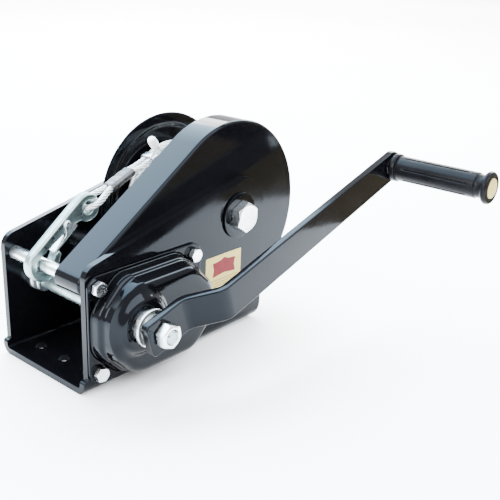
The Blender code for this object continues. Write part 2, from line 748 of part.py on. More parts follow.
def cover_section(inset):
    """The raised part of the cover at its foot, with corners cut back clear of the bolts."""
    low = (2.4 * MM + inset, 10.5 * MM + inset)
    high = (107.6 * MM - inset, 87.5 * MM - inset)
    cut = 23 * MM - 0.586 * inset
    corners = [(low[0] + cut, low[1]), (high[0] - cut, low[1]), (high[0], low[1] + cut),
               (high[0], high[1] - cut), (high[0] - cut, high[1]), (low[0] + cut, high[1]),
               (low[0], high[1] - cut), (low[0], low[1] + cut)]
    return rounded_polygon(corners, 6 * MM, 3)


def brake_cover():
    """A pressed cover: flange, stepped walls and a round boss about the drive shaft."""
    side = side_matrix((0, 0))
    foot = GAP
    flange_low = (0.4 * MM, 8.4 * MM)
    flange_high = (109.6 * MM, 89.8 * MM)
    outline = rectangle(flange_low, flange_high, 9 * MM)
    obj = add_object("brake_cover", prism("brake_cover", [outline], foot, foot + COVER_SHEET),
                     "black_paint", side)
    outer = [(cover_section(inset), z) for inset, z in COVER_STEPS]
    inner = [(cover_section(COVER_SHEET), foot - 5 * MM)]
    inner += [(cover_section(inset + COVER_SHEET), z - COVER_SHEET * 0.4)
              for inset, z in COVER_STEPS[1:4]]
    inner.append((cover_section(COVER_STEPS[4][0] + COVER_SHEET), COVER_DEPTH - COVER_SHEET))
    boss = [(BOSS_RADIUS, COVER_DEPTH - 6 * MM), (BOSS_RADIUS - 1.5 * MM, BOSS_DEPTH - 2 * MM),
            (BOSS_RADIUS - 4 * MM, BOSS_DEPTH)]
    hollow = [(BOSS_RADIUS - 2 * MM, COVER_DEPTH - 8 * MM),
              (BOSS_RADIUS - 3.5 * MM, BOSS_DEPTH - 3.5 * MM),
              (BOSS_RADIUS - 5.5 * MM, BOSS_DEPTH - COVER_SHEET)]
    boolean(obj, add_cutter("cover_outer", loft("cover_outer", outer), side), "UNION")
    boolean(obj, round_cutter("cover_boss", boss), "UNION")
    boolean(obj, add_cutter("cover_inner", loft("cover_inner", inner), side))
    boolean(obj, round_cutter("cover_boss_hollow", hollow))
    boolean(obj, cylinders("cover_bore", [SHAFT], [12.6 * MM], 20 * MM, 40 * MM, 32))
    boolean(obj, cylinders("cover_bolt_holes", list(COVER_BOLTS.values()), [3.3 * MM] * 4,
                           -5 * MM, 5 * MM, 12))


def round_cutter(name, levels):
    sections = [(circle(SHAFT, radius, 32), z) for radius, z in levels]
    return add_cutter(name, loft(name, sections), side_matrix((0, 0)))


# ---------------------------------------------------------------- crank and grip

def arm_path():
    """The bar's middle line as (along, out), with round bends at both ends of the slope."""
    low = ARM_LOW + ARM_THICKNESS / 2
    high = ARM_HIGH + ARM_THICKNESS / 2
    corners = [Vector((BEND_START, low)), Vector((BEND_END, high))]
    slope = math.atan2(high - low, BEND_END - BEND_START)
    radius = 12 * MM
    cut = radius * math.tan(slope / 2)
    path = [(-ARM_WIDTH, low)]
    path += arc((corners[0].x - cut, low + radius), radius, -math.pi / 2, -math.pi / 2 + slope, 5)
    path += arc((corners[1].x + cut, high - radius), radius, math.pi / 2 + slope, math.pi / 2, 5)
    path.append((ARM_LENGTH + ARM_WIDTH, high))
    return path


def crank_arm():
    side = side_matrix(SHAFT, ARM_ANGLE)
    half = ARM_WIDTH / 2 + 2 * MM
    work = bmesh.new()
    rows = [[work.verts.new((x, y, z)) for y in (-half, half)] for x, z in arm_path()]
    for low, high in zip(rows, rows[1:]):
        work.faces.new((low[0], high[0], high[1], low[1]))
    mesh = bpy.data.meshes.new("crank_arm")
    work.to_mesh(mesh)
    work.free()
    obj = add_object("crank_arm", mesh, "black_paint", side)
    sheet = obj.modifiers.new("thickness", "SOLIDIFY")
    sheet.thickness = ARM_THICKNESS
    sheet.offset = 0
    sheet.use_even_offset = True
    ends = arc((0, 0), ARM_WIDTH / 2, math.pi / 2, 1.5 * math.pi, 10)
    ends += arc((ARM_LENGTH, 0), ARM_WIDTH / 2, -math.pi / 2, math.pi / 2, 10)
    outline = prism("arm_outline", [ends], ARM_LOW - 10 * MM, ARM_HIGH + 20 * MM)
    boolean(obj, add_cutter("arm_outline", outline, side), "INTERSECT")
    bores = bmesh.new()
    middle = (ARM_LOW + ARM_HIGH + ARM_THICKNESS) / 2
    for x, radius in ((0, STUD_RADIUS + GAP), (ARM_LENGTH, PIN_RADIUS + GAP)):
        bmesh.ops.create_cone(bores, cap_ends=True, segments=20, radius1=radius, radius2=radius,
                              depth=60 * MM, matrix=Matrix.Translation((x, 0, middle)))
    mesh = bpy.data.meshes.new("arm_bores")
    bores.to_mesh(mesh)
    bores.free()
    boolean(obj, add_cutter("arm_bores", mesh, side))
    nut_low = ARM_LOW + ARM_THICKNESS + GAP
    hex_piece("crank_nut", "zinc", side_matrix(SHAFT), 16 * MM, nut_low, nut_low + 8.4 * MM,
              bore=STUD_RADIUS + GAP, turn=math.radians(10))


def grip_axis():
    return (SHAFT[0] + ARM_LENGTH * math.cos(ARM_ANGLE),
            SHAFT[1] + ARM_LENGTH * math.sin(ARM_ANGLE))


def grip():
    side = side_matrix(grip_axis())
    start = GRIP_START
    end = start + GRIP_LENGTH
    outer = [(0, end - 1.2 * MM), (8.6 * MM, end - 1.2 * MM), (8.6 * MM, end), (12.6 * MM, end),
             (13.6 * MM, end - 1.4 * MM), (13.6 * MM, end - 4.2 * MM), (12.3 * MM, end - 5.8 * MM),
             (9.8 * MM, end - 7 * MM), (9.8 * MM, end - 12 * MM), (GRIP_RADIUS, end - 12.8 * MM),
             (GRIP_RADIUS, start + 5 * MM), (12 * MM, start + 4.4 * MM), (12.2 * MM, start + 0.8 * MM),
             (11.6 * MM, start)]
    bore = PIN_RADIUS + GAP
    inner = [(bore, start), (bore, end - 8 * MM), (0, end - 8 * MM)]
    turned("grip", outer + inner, "black_plastic", side, 20)
    disc = end - 0.9 * MM
    turned("grip_cap", [(0, disc + 1.8 * MM), (7.4 * MM, disc + 1.8 * MM), (8.3 * MM, disc + 1.1 * MM),
                        (8.3 * MM, disc), (0, disc)], "cream_plastic", side, 20)
    outer_face = ARM_HIGH + ARM_THICKNESS
    turned("grip_washer", ring_profile(8 * MM, PIN_RADIUS + GAP, outer_face + GAP,
                                       outer_face + 1.8 * MM), "zinc", side)
    pin_end = end - 8.4 * MM
    turned("grip_pin", [(0, pin_end), (PIN_RADIUS, pin_end), (PIN_RADIUS, ARM_HIGH - GAP),
                        (7 * MM, ARM_HIGH - GAP), (6 * MM, ARM_HIGH - 2.6 * MM),
                        (0, ARM_HIGH - 3.2 * MM)], "zinc", side)


# ---------------------------------------------------------------- hook and rope

def rope_direction():
    """The rope's slope from the hook's eye, so that it meets the top of the winding."""
    reach = WINDING_RADIUS + ROPE + GAP
    span = math.dist(EYE, AXLE)
    slope = direction(EYE, AXLE) + math.asin(reach / span)
    return slope, math.sqrt(span ** 2 - reach ** 2)


def rope_point(distance, side=0.0, rise=0.0):
    """A point on the rope's straight run, measured from the hook's eye."""
    slope, length = rope_direction()
    y = HOOK_Y + (DRUM_ROPE_Y - HOOK_Y) * distance / length
    return Vector((EYE[0] + distance * math.cos(slope) - rise * math.sin(slope), y + side,
                   EYE[1] + distance * math.sin(slope) + rise * math.cos(slope)))


def smooth_route(points, per_span):
    """Points of a Catmull-Rom curve through the given ones."""
    route = []
    padded = [points[0] * 2 - points[1]] + points + [points[-1] * 2 - points[-2]]
    for a, b, c, d in zip(padded, padded[1:], padded[2:], padded[3:]):
        for i in range(per_span):
            t = i / per_span
            route.append(0.5 * (2 * b + (c - a) * t + (2 * a - 5 * b + 4 * c - d) * t * t
                                + (3 * b - a - 3 * c + d) * t ** 3))
    route.append(points[-1])
    return route


def rope():
    """The lead to the drum, the eye round the hook, and the tail held by a clip."""
    length = rope_direction()[1]
    start = FERRULE_START + FERRULE_LENGTH
    lead = [rope_point(start + GAP + (length - start) * i / 6, rise=0) for i in range(7)]
    add_object("rope_lead", tube("rope_lead", lead, ROPE), "rope")
    wide = HOOK_BAR + ROPE + 1.2 * MM
    near = FERRULE_START - 1.2 * MM
    loop = [rope_point(near, -2.8 * MM), rope_point(near - 6 * MM, -4.4 * MM),
            rope_point(10 * MM, -wide), rope_point(3.5 * MM, -wide + 0.6 * MM),
            rope_point(0, -3.6 * MM), rope_point(-0.7 * MM, 0), rope_point(0, 3.6 * MM),
            rope_point(3.5 * MM, wide - 0.6 * MM), rope_point(10 * MM, wide),
            rope_point(near - 6 * MM, 4.4 * MM), rope_point(near, 2.8 * MM)]
    add_object("rope_eye", tube("rope_eye", smooth_route(loop, 2), ROPE), "rope")
    ferrule()
    end = CLIP_DISTANCE + 9 * MM
    tail = [rope_point(start + 1.5 * MM, -2.8 * MM - ROPE), rope_point(start + 8 * MM, -TAIL_OFFSET),
            rope_point(CLIP_DISTANCE - 4 * MM, -TAIL_OFFSET), rope_point(end - 1 * MM, -TAIL_OFFSET),
            rope_point(end + 2.5 * MM, -TAIL_OFFSET, 3.5 * MM),
            rope_point(end + 2 * MM, -TAIL_OFFSET, 9 * MM),
            rope_point(end - 1 * MM, -TAIL_OFFSET, 15 * MM)]
    add_object("rope_tail", tube("rope_tail", smooth_route(tail, 3), ROPE), "rope")
    clip()


def rope_frame(distance):
    """A frame on the rope: z runs along it to the drum, x up from it and y towards the crank."""
    slope = rope_direction()[0]
    along = (rope_point(1) - rope_point(0)).normalized()
    rise = Vector((-math.sin(slope), 0, math.cos(slope)))
    near = along.cross(rise)
    turn = Matrix((rise, near, along)).transposed().to_4x4()
    return Matrix.Translation(rope_point(distance)) @ turn


def ferrule():
    half = FERRULE_HALF - 2.8 * MM
    outline = arc((0, 2.8 * MM), half, 0, math.pi, 8)
    outline += arc((0, -2.8 * MM), half, math.pi, 2 * math.pi, 8)
    mesh = prism("rope_ferrule", [outline], 0, FERRULE_LENGTH)
    add_object("rope_ferrule", mesh, "zinc", rope_frame(FERRULE_START))


def clip():
    """A band round the rope and its tail."""
    inner = ROPE + 0.5 * MM
    outer = inner + 1.2 * MM
    loops = []
    for radius in (outer, inner):
        loops.append(arc((0, TAIL_OFFSET), radius, 0, math.pi, 8)
                     + arc((0, 0), radius, math.pi, 2 * math.pi, 8))
    mesh = prism("rope_clip", loops, 0, 6 * MM)
    add_object("rope_clip", mesh, "zinc", rope_frame(CLIP_DISTANCE))


def hook_frame():
    """A frame at the tie rod: x along the shank to the eye, y square to it, z towards the crank."""
    turn = direction(TIE, EYE)
    matrix = side_matrix(TIE, turn)
    matrix.translation.y = HOOK_Y
    return matrix, math.dist(TIE, EYE)


def snap_hook():
    """A bar bent round the tie rod, joined to a ring for the rope and bored for the latch pin."""
    matrix, length = hook_frame()
    bowl = arc((0, 0), BOWL_PATH, math.radians(110), math.radians(318), 14)
    shank = [Vector((length - EYE_PATH, 0.6 * MM)), Vector((38 * MM, 4 * MM)),
             Vector((30 * MM, 8 * MM)), Vector((20 * MM, 10.8 * MM)), Vector((9 * MM, 11.4 * MM)),
             Vector((1.5 * MM, 10.6 * MM))]
    path = [tuple(point) for point in smooth_route(shank, 2)] + bowl
    path.append((bowl[-1][0] + 8 * MM, bowl[-1][1] + 2.6 * MM))
    bar = tube("snap_hook", [(x, y, 0) for x, y in path], HOOK_BAR, 2)
    obj = add_object("snap_hook", bar, "zinc", matrix)
    boolean(obj, hook_ring(matrix, length), "UNION")
    pin = matrix @ Matrix.Translation((*LATCH_PIVOT, 0))
    bore = turned("latch_bore", rod_profile(LATCH_PIN + GAP, -8 * MM, 8 * MM), "zinc", pin, 12)
    make_cutter(bore)
    boolean(obj, bore)
    turned("latch_pin", rod_profile(LATCH_PIN, -6.2 * MM, 6.2 * MM), "zinc", pin, 12)
    latch(pin)


def hook_ring(matrix, length):
    """The hook's eye: a torus about the rope's end."""
    ring = bpy.data.meshes.new("hook_ring")
    profile = circle((EYE_PATH, 0), HOOK_BAR, 8)
    work = bmesh.new()
    count = 18
    loops = []
    for i in range(count):
        turn = Matrix.Rotation(2 * math.pi * i / count, 3, "Z")
        middle = Vector((length, 0, 0))
        loops.append([work.verts.new(middle + turn @ Vector((x, 0, z))) for x, z in profile])
    for low, high in zip(loops, loops[1:] + loops[:1]):
        for i in range(len(profile)):
            j = (i + 1) % len(profile)
            work.faces.new((low[i], low[j], high[j], high[i]))
    bmesh.ops.recalc_face_normals(work, faces=work.faces)
    work.to_mesh(ring)
    work.free()
    return add_cutter("hook_ring", ring, matrix)


def latch(pin):
    """A folded strip that closes the hook: two ears on the pin and a tongue to the hook's point."""
    x, y = LATCH_PIVOT
    tongue = [(12 * MM, 0.8 * MM), (35 * MM, -0.3 * MM), (36.2 * MM, 3.5 * MM)]
    outline = tongue + arc((x, y), 2.8 * MM, -0.3, 2.8, 8)
    outline += [(28.5 * MM, 4.5 * MM), (26.5 * MM, 1.3 * MM), (12 * MM, 2 * MM)]
    outlines = [[(px - x, py - y) for px, py in outline], circle((0, 0), LATCH_PIN + GAP, 12)]
    obj = add_object("hook_latch", prism("hook_latch", outlines, -LATCH_HALF, LATCH_HALF), "zinc", pin)
    channel = [(8 * MM, 2.2 * MM), (40 * MM, 0.7 * MM), (40 * MM, 16 * MM), (8 * MM, 16 * MM)]
    channel = [(px - x, py - y) for px, py in channel]
    half = LATCH_HALF - 1.1 * MM
    boolean(obj, add_cutter("latch_channel", prism("latch_channel", [channel], -half, half), pin))


def build():
    counter = countershaft_axis()
    frame(counter)
    guard()
    tie_rod()
    axle()
    gears(counter)
    drum()
    countershaft(counter)
    drive_shaft()
    brake()
    pawl()
    brake_cover()
    cover_bolts()
    crank_arm()
    grip()
    snap_hook()
    rope()


clear_scene()
PARTS = make_collection("boat_trailer_winch")
CUTTERS = make_collection("cutters")
WINCH = bpy.data.objects.new("winch", None)
WINCH.location = (-ORIGIN, 0, 0)
PARTS.objects.link(WINCH)
MATERIALS = {finish: make_material(finish) for finish in FINISHES}
build()
for spare in MATERIALS.values():
    bpy.data.materials.remove(spare)
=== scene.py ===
"""The finished look of the boat trailer winch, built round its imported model.

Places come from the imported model's boxes and joints. Most pieces are made in a side frame: x runs
along +X, y runs up and z runs out through the crank, with z = 0 on the outer face of the near side
plate. Lengths are in metres, and tables in millimetres go through mm() or below().
"""
import json
import math

import bmesh
import bpy
from mathutils import Euler, Matrix, Vector


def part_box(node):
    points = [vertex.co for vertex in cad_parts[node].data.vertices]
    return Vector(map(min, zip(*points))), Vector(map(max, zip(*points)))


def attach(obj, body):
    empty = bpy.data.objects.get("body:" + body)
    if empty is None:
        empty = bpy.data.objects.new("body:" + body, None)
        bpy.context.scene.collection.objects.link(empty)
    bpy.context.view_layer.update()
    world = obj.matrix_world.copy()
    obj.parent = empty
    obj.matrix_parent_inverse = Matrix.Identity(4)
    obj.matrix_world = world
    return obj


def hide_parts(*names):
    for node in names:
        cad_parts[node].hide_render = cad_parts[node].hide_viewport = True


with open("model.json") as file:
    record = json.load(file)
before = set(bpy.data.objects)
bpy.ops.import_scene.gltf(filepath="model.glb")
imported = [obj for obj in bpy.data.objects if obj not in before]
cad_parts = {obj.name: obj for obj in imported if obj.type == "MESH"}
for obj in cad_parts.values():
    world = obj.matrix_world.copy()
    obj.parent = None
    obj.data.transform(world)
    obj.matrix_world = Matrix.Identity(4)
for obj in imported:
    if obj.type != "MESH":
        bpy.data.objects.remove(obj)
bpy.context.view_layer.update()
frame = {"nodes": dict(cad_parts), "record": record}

BEHAVIOUR = frame["record"]["behaviour"]
JOINTS = {joint["name"]: joint for joint in BEHAVIOUR["joints"]}
BODY_OF = {node: body for body, nodes in BEHAVIOUR["bodies"].items() for node in nodes}
SLOT_OF = {part["node"]: part["material_slot"] for part in frame["record"]["subparts"]}

MM = 0.001


def mm(*points):
    return [tuple(value * MM for value in point) for point in points]


def below(top, *points):
    """A profile from (radius, depth below top), both in millimetres."""
    return [(radius * MM, top - depth * MM) for radius, depth in points]


def joint_axis(name):
    x, _, z = JOINTS[name]["pos_m"]
    return x, z


def middle(node):
    low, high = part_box(node)
    return (low[0] + high[0]) / 2, (low[2] + high[2]) / 2


# Frame, from its box
FRAME_LOW, FRAME_HIGH = (Vector(corner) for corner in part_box("frame_plate"))
LIP = 3.5 * MM
LIP_TOP = 11 * MM
LIP_CORNER = 2 * MM
FRONT = FRAME_LOW.x + LIP
NEAR = FRAME_LOW.y
WIDTH = FRAME_HIGH.y - NEAR
LENGTH = FRAME_HIGH.x - FRONT
PLATE = 5 * MM
BEND_RADIUS = 8 * MM
FRONT_HEIGHT = 95 * MM
ROUND_END = FRAME_HIGH.z - joint_axis("drum_turn")[1]
REAR_CORNER = 14 * MM
FRONT_CORNER = 11 * MM

# Axes, as (x, z)
AXLE = joint_axis("drum_turn")
SHAFT = joint_axis("crank_turn")
COUNTER = joint_axis("countershaft_turn")
GRIP = joint_axis("grip_spin")
TIE = middle("tie_rod")
HOOK_Y = JOINTS["latch_open"]["pos_m"][1]

# Bore radii
AXLE_BORE = 7.3 * MM
COUNTER_BORE = 6.3 * MM
TIE_BORE = 5.3 * MM
COVER_BOLT_BORE = 3.3 * MM
PIN_BORE = 4.3 * MM
GUARD_BORES = ((AXLE, AXLE_BORE), (TIE, TIE_BORE), (COUNTER, COUNTER_BORE))

# Guard
GUARD_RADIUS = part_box("gear_guard")[1][0] - AXLE[0]
GUARD_NOSE = 9.6 * MM
GUARD_SHEET = 2 * MM
GUARD_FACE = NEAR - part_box("gear_guard")[0][1]
GUARD_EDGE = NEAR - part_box("gear_guard")[1][1]
GUARD_REAR_ANGLE = math.radians(-48)
GUARD_FILLET = 2.2 * MM

# Brake cover
COVER_LOW, COVER_HIGH = (Vector((corner[0], corner[2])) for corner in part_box("brake_cover"))
COVER_DEPTH = 25 * MM
BOSS_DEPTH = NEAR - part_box("brake_cover")[0][1]
BOSS_RADIUS = 24 * MM
COVER_SHEET = 2 * MM
COVER_BOLTS = ("cover_bolt_top_front", "cover_bolt_bottom_front", "cover_bolt_top_rear",
               "cover_bolt_bottom_rear")

# Crank
ARM_ANGLE = math.atan2(GRIP[1] - SHAFT[1], GRIP[0] - SHAFT[0])
ARM_LENGTH = math.dist(GRIP, SHAFT)
ARM_WIDTH = 26 * MM
ARM_THICKNESS = 6.4 * MM
ARM_LOW = 40.8 * MM
ARM_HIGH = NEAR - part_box("crank_arm")[0][1] - ARM_THICKNESS
BEND_START = 24 * MM
BEND_END = 46 * MM
GRIP_LOW, GRIP_HIGH = (NEAR - reach for reach in (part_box("grip")[1][1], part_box("grip")[0][1]))

# Rope and hook
ROPE = 2.5 * MM
STRANDS = 6
LAY = 26 * MM
EYE_DISTANCE = 53.45 * MM
HOOK_TURN = math.radians(40.9036)
EYE = (TIE[0] + EYE_DISTANCE * math.cos(HOOK_TURN), TIE[1] + EYE_DISTANCE * math.sin(HOOK_TURN))
EYE_HOLE = 4.4 * MM
EYE_RING = 11 * MM
BOWL_INNER = 6.1 * MM
BOWL_OUTER = 13.2 * MM
HOOK_HALF = 4.2 * MM
LATCH_HALF = 5.2 * MM
LATCH_PIVOT = (33 * MM, 6.6 * MM)
DRUM_ROPE_Y = 22 * MM
WINDING_RADIUS = 48 * MM
DRUM_BORE = 22.3 * MM
FERRULE_START = 27 * MM
FERRULE_LENGTH = 26 * MM
CLIP_DISTANCE = 71 * MM
TAIL_OFFSET = 6.2 * MM
TAIL_DISTANCE = CLIP_DISTANCE + 9 * MM


# ---- materials

def configure(target, **settings):
    for key, value in settings.items():
        setattr(target, key, value)
    return target


def shader_of(material):
    return material.node_tree.nodes["Principled BSDF"]


def new_material(name, colour, roughness, metallic=0.0, specular=0.5):
    material = bpy.data.materials.new(name)
    material.use_nodes = True
    inputs = shader_of(material).inputs
    inputs["Base Color"].default_value = (*colour, 1)
    inputs["Roughness"].default_value = roughness
    inputs["Metallic"].default_value = metallic
    inputs["Specular IOR Level"].default_value = specular
    return material


def add_node(material, kind, inputs=None, **settings):
    node = configure(material.node_tree.nodes.new("ShaderNode" + kind), **settings)
    for key, value in (inputs or {}).items():
        if isinstance(value, bpy.types.NodeSocket):
            material.node_tree.links.new(value, node.inputs[key])
        else:
            node.inputs[key].default_value = value
    return node


def link(material, output, name):
    material.node_tree.links.new(output, shader_of(material).inputs[name])


def place_of(material, stretch=(1, 1, 1)):
    """The surface's place on its own object, which moves with it."""
    coordinates = add_node(material, "TexCoord")
    mapping = add_node(material, "Mapping", {"Vector": coordinates.outputs["Object"]})
    mapping.inputs["Scale"].default_value = stretch
    return mapping.outputs["Vector"]


def noise(material, place, scale, detail=3.0, rough=0.5):
    node = add_node(material, "TexNoise", {"Vector": place, "Scale": scale, "Detail": detail,
                                           "Roughness": rough})
    return node.outputs["Fac"]


def span(material, value, low, high, start=0.3, end=0.7):
    """value between start and end, carried over to low and high."""
    node = add_node(material, "MapRange", {"Value": value, "From Min": start, "From Max": end,
                                           "To Min": low, "To Max": high})
    return node.outputs["Result"]


def tint(material, value, first, second, start=0.3, end=0.7):
    """Base colour from first to second as value goes from start to end."""
    node = add_node(material, "Mix", {0: span(material, value, 0, 1, start, end)},
                    data_type="RGBA")
    node.inputs[6].default_value = (*first, 1)
    node.inputs[7].default_value = (*second, 1)
    link(material, node.outputs[2], "Base Color")


def roughen(material, value, low, high):
    link(material, span(material, value, low, high), "Roughness")


def bump(material, height, strength, distance):
    node = add_node(material, "Bump", {"Height": height, "Strength": strength,
                                       "Distance": distance})
    link(material, node.outputs["Normal"], "Normal")


def black_paint():
    """Gloss black over plate: a faint orange peel, dust, and a little haze in patches."""
    material = new_material("black_paint", (0.002, 0.002, 0.003), 0.08, specular=0.115)
    shader_of(material).inputs["Specular Tint"].default_value = (0.78, 0.89, 1.0, 1)
    place = place_of(material)
    roughen(material, noise(material, place, 28, 4), 0.05, 0.14)
    tint(material, noise(material, place, 1400, 2), (0.0015, 0.0015, 0.002),
         (0.009, 0.009, 0.010), 0.68, 0.8)
    bump(material, noise(material, place, 260, 2), 0.06, 0.3 * MM)
    return material


def plated(name, colour, shade, roughness, mottle=90):
    """Zinc plating: fine crystals, patches of a second tone, and light scuffs."""
    material = new_material(name, colour, roughness, metallic=1.0)
    place = place_of(material)
    patches = noise(material, place, mottle, 5, 0.6)
    crystals = add_node(material, "TexVoronoi", {"Vector": place, "Scale": 900.0})
    tint(material, patches, colour, shade)
    roughen(material, patches, roughness - 0.07, roughness + 0.12)
    bump(material, crystals.outputs["Distance"], 0.12, 0.1 * MM)
    return material


def machined(name, colour, shade, roughness):
    """Turned or cut metal with fine rings across its axis and an oily film."""
    material = new_material(name, colour, roughness, metallic=1.0)
    rings = noise(material, place_of(material, (1, 12, 1)), 320, 3)
    tint(material, noise(material, place_of(material), 60, 4), colour, shade)
    roughen(material, rings, roughness - 0.08, roughness + 0.14)
    bump(material, rings, 0.15, 0.05 * MM)
    return material


def lining():
    """Pressed friction lining with short brass-coloured fibres."""
    material = new_material("friction_lining", (0.10, 0.07, 0.05), 0.85)
    fibres = noise(material, place_of(material, (1, 1, 6)), 900, 4, 0.7)
    tint(material, fibres, (0.08, 0.055, 0.04), (0.32, 0.22, 0.10), 0.6, 0.68)
    bump(material, fibres, 0.4, 0.2 * MM)
    return material


def moulded(name, colour, shade, roughness):
    """Moulded plastic with a fine grain."""
    material = new_material(name, colour, roughness, specular=0.06)
    place = place_of(material)
    tint(material, noise(material, place, 40, 3), colour, shade)
    grain = noise(material, place, 1800, 2)
    roughen(material, grain, roughness - 0.06, roughness + 0.1)
    bump(material, grain, 0.18, 0.08 * MM)
    return material


def wire_rope():
    """Galvanised wire: each wire is a fine line along its strand."""
    material = new_material("wire_rope", (0.80, 0.81, 0.81), 0.34, metallic=1.0)
    place = place_of(material)
    wires = noise(material, place, 1500, 3, 0.7)
    tint(material, noise(material, place, 120, 3), (0.86, 0.86, 0.85), (0.60, 0.62, 0.62))
    roughen(material, wires, 0.26, 0.5)
    bump(material, wires, 0.35, 0.12 * MM)
    return material


def printed(name, colour, shade):
    """Ink on a foil label, slightly uneven."""
    material = new_material(name, colour, 0.32, specular=0.06)
    tint(material, noise(material, place_of(material), 220, 4, 0.65), colour, shade)
    return material


MATERIALS = {
    "black_paint": black_paint(),
    "zinc": plated("zinc_plate", (0.86, 0.88, 0.88), (0.68, 0.72, 0.73), 0.24),
    "galvanised": plated("galvanised", (0.36, 0.44, 0.435), (0.20, 0.27, 0.27), 0.30, 160),
    "dark_steel": plated("dark_steel", (0.13, 0.125, 0.125), (0.06, 0.058, 0.06), 0.40, 160),
    "steel": machined("oiled_steel", (0.50, 0.50, 0.50), (0.33, 0.32, 0.31), 0.34),
    "brass": machined("bush_brass", (0.70, 0.50, 0.20), (0.50, 0.34, 0.13), 0.30),
    "friction": lining(),
    "black_plastic": moulded("black_plastic", (0.002, 0.002, 0.0025), (0.004, 0.004, 0.005), 0.20),
    "cream_plastic": moulded("cream_plastic", (0.42, 0.35, 0.14), (0.34, 0.27, 0.09), 0.35),
    "rope": wire_rope(),
    "pale_cap": moulded("pale_cap", (0.82, 0.82, 0.80), (0.70, 0.70, 0.69), 0.4),
    "label_foil": printed("label_foil", (0.44, 0.35, 0.12), (0.37, 0.29, 0.09)),
    "label_red": printed("label_red", (0.13, 0.010, 0.014), (0.09, 0.007, 0.010)),
    "label_line": printed("label_line", (0.20, 0.16, 0.05), (0.26, 0.21, 0.07)),
}


# ---- making pieces

def side_matrix(axis=(0, 0), turn=0.0):
    """The side frame at an axis (x, z), turned about the outward direction."""
    shift = Matrix.Translation((axis[0], NEAR, axis[1]))
    return shift @ Euler((math.pi / 2, -turn, 0)).to_matrix().to_4x4()


def far_matrix(axis):
    """A side frame on the far plate's outer face, with z running out, away from the crank."""
    shift = Matrix.Translation((axis[0], NEAR + WIDTH, axis[1]))
    return shift @ Euler((-math.pi / 2, 0, 0)).to_matrix().to_4x4()


def depths(node):
    """A node's nearest and furthest reach, out from the near side plate's outer face."""
    low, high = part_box(node)
    return NEAR - high[1], NEAR - low[1]


def linked(name, data):
    obj = bpy.data.objects.new(name, data)
    bpy.context.scene.collection.objects.link(obj)
    return obj


def made(work, name):
    """The mesh of a finished bmesh."""
    mesh = bpy.data.meshes.new(name)
    work.to_mesh(mesh)
    work.free()
    return mesh


def closed(work, name):
    """The same, with its faces turned outwards."""
    bmesh.ops.recalc_face_normals(work, faces=work.faces)
    return made(work, name)


def bridge(work, first, second):
    """Faces between two rings of equal count, either of which may be a single point."""
    for i in range(max(len(first), len(second))):
        corners = [row[k % len(row)] for row, k in ((first, i), (first, i + 1),
                                                    (second, i + 1), (second, i))]
        unique = list(dict.fromkeys(corners))
        if len(unique) > 2:
            work.faces.new(unique)


def add_piece(name, mesh, matrix, body, material):
    obj = linked(name, mesh)
    obj.matrix_world = matrix
    mesh.materials.clear()
    mesh.materials.append(MATERIALS[material])
    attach(obj, body)
    return obj


def replace(node, mesh, matrix, material=None):
    """A piece that stands for one CAD node, on its body and in its finish."""
    slot = SLOT_OF[node]
    obj = add_piece(node + "_piece", mesh, matrix, BODY_OF[node], material or slot)
    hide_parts(node)
    return obj


def smooth(mesh, angle=40):
    mesh.shade_smooth()
    mesh.set_sharp_from_angle(angle=math.radians(angle))


def round_edges(obj, width, segments=3, angle=40):
    configure(obj.modifiers.new("edges", "BEVEL"), width=width, segments=segments,
              limit_method="ANGLE", angle_limit=math.radians(angle), harden_normals=True)


def flatten(obj):
    """Flat faces stay flat beside rounded edges."""
    configure(obj.modifiers.new("normals", "WEIGHTED_NORMAL"), keep_sharp=True, weight=100)


def evaluated(obj, name):
    graph = bpy.context.evaluated_depsgraph_get()
    mesh = bpy.data.meshes.new_from_object(obj.evaluated_get(graph))
    mesh.name = name
    data = obj.data
    bpy.data.objects.remove(obj, do_unlink=True)
    if isinstance(data, bpy.types.Curve):
        bpy.data.curves.remove(data)
    return mesh


def weld(mesh, distance=0.01 * MM):
    work = bmesh.new()
    work.from_mesh(mesh)
    bmesh.ops.remove_doubles(work, verts=work.verts, dist=distance)
    bmesh.ops.recalc_face_normals(work, faces=work.faces)
    work.to_mesh(mesh)
    work.free()
    return mesh


def prism(name, outlines, low, high, edge=0.0, rounds=3):
    """A flat piece between two depths: an outline and its holes, with rounded edges."""
    curve = configure(bpy.data.curves.new(name, "CURVE"), dimensions="2D", fill_mode="BOTH",
                      extrude=(high - low) / 2 - edge, bevel_depth=edge,
                      bevel_resolution=rounds, offset=-edge)
    for outline in outlines:
        spline = curve.splines.new("POLY")
        spline.points.add(len(outline) - 1)
        for point, (x, y) in zip(spline.points, outline):
            point.co = (x, y, 0, 1)
        spline.use_cyclic_u = True
    mesh = weld(evaluated(linked(name, curve), name))
    mesh.transform(Matrix.Translation((0, 0, (low + high) / 2)))
    smooth(mesh)
    return mesh


def hole(outline, low, high):
    """A prism for combine() to take away."""
    return prism("hole", [outline], low, high), "DIFFERENCE"


def rectangle(left, bottom, right, top):
    return [(left, bottom), (right, bottom), (right, top), (left, top)]


def polar(radius, angle):
    return radius * math.cos(angle), radius * math.sin(angle)


def combine(name, mesh, cutters):
    """A mesh after a run of booleans. cutters holds (mesh, operation)."""
    obj = linked(name, mesh)
    tools = []
    for cutter, operation in cutters:
        tools.append(linked("tool", cutter))
        configure(obj.modifiers.new("cut", "BOOLEAN"), object=tools[-1], operation=operation,
                  solver="EXACT")
    result = weld(evaluated(obj, name), 0.02 * MM)
    for tool in tools:
        bpy.data.objects.remove(tool, do_unlink=True)
    return result


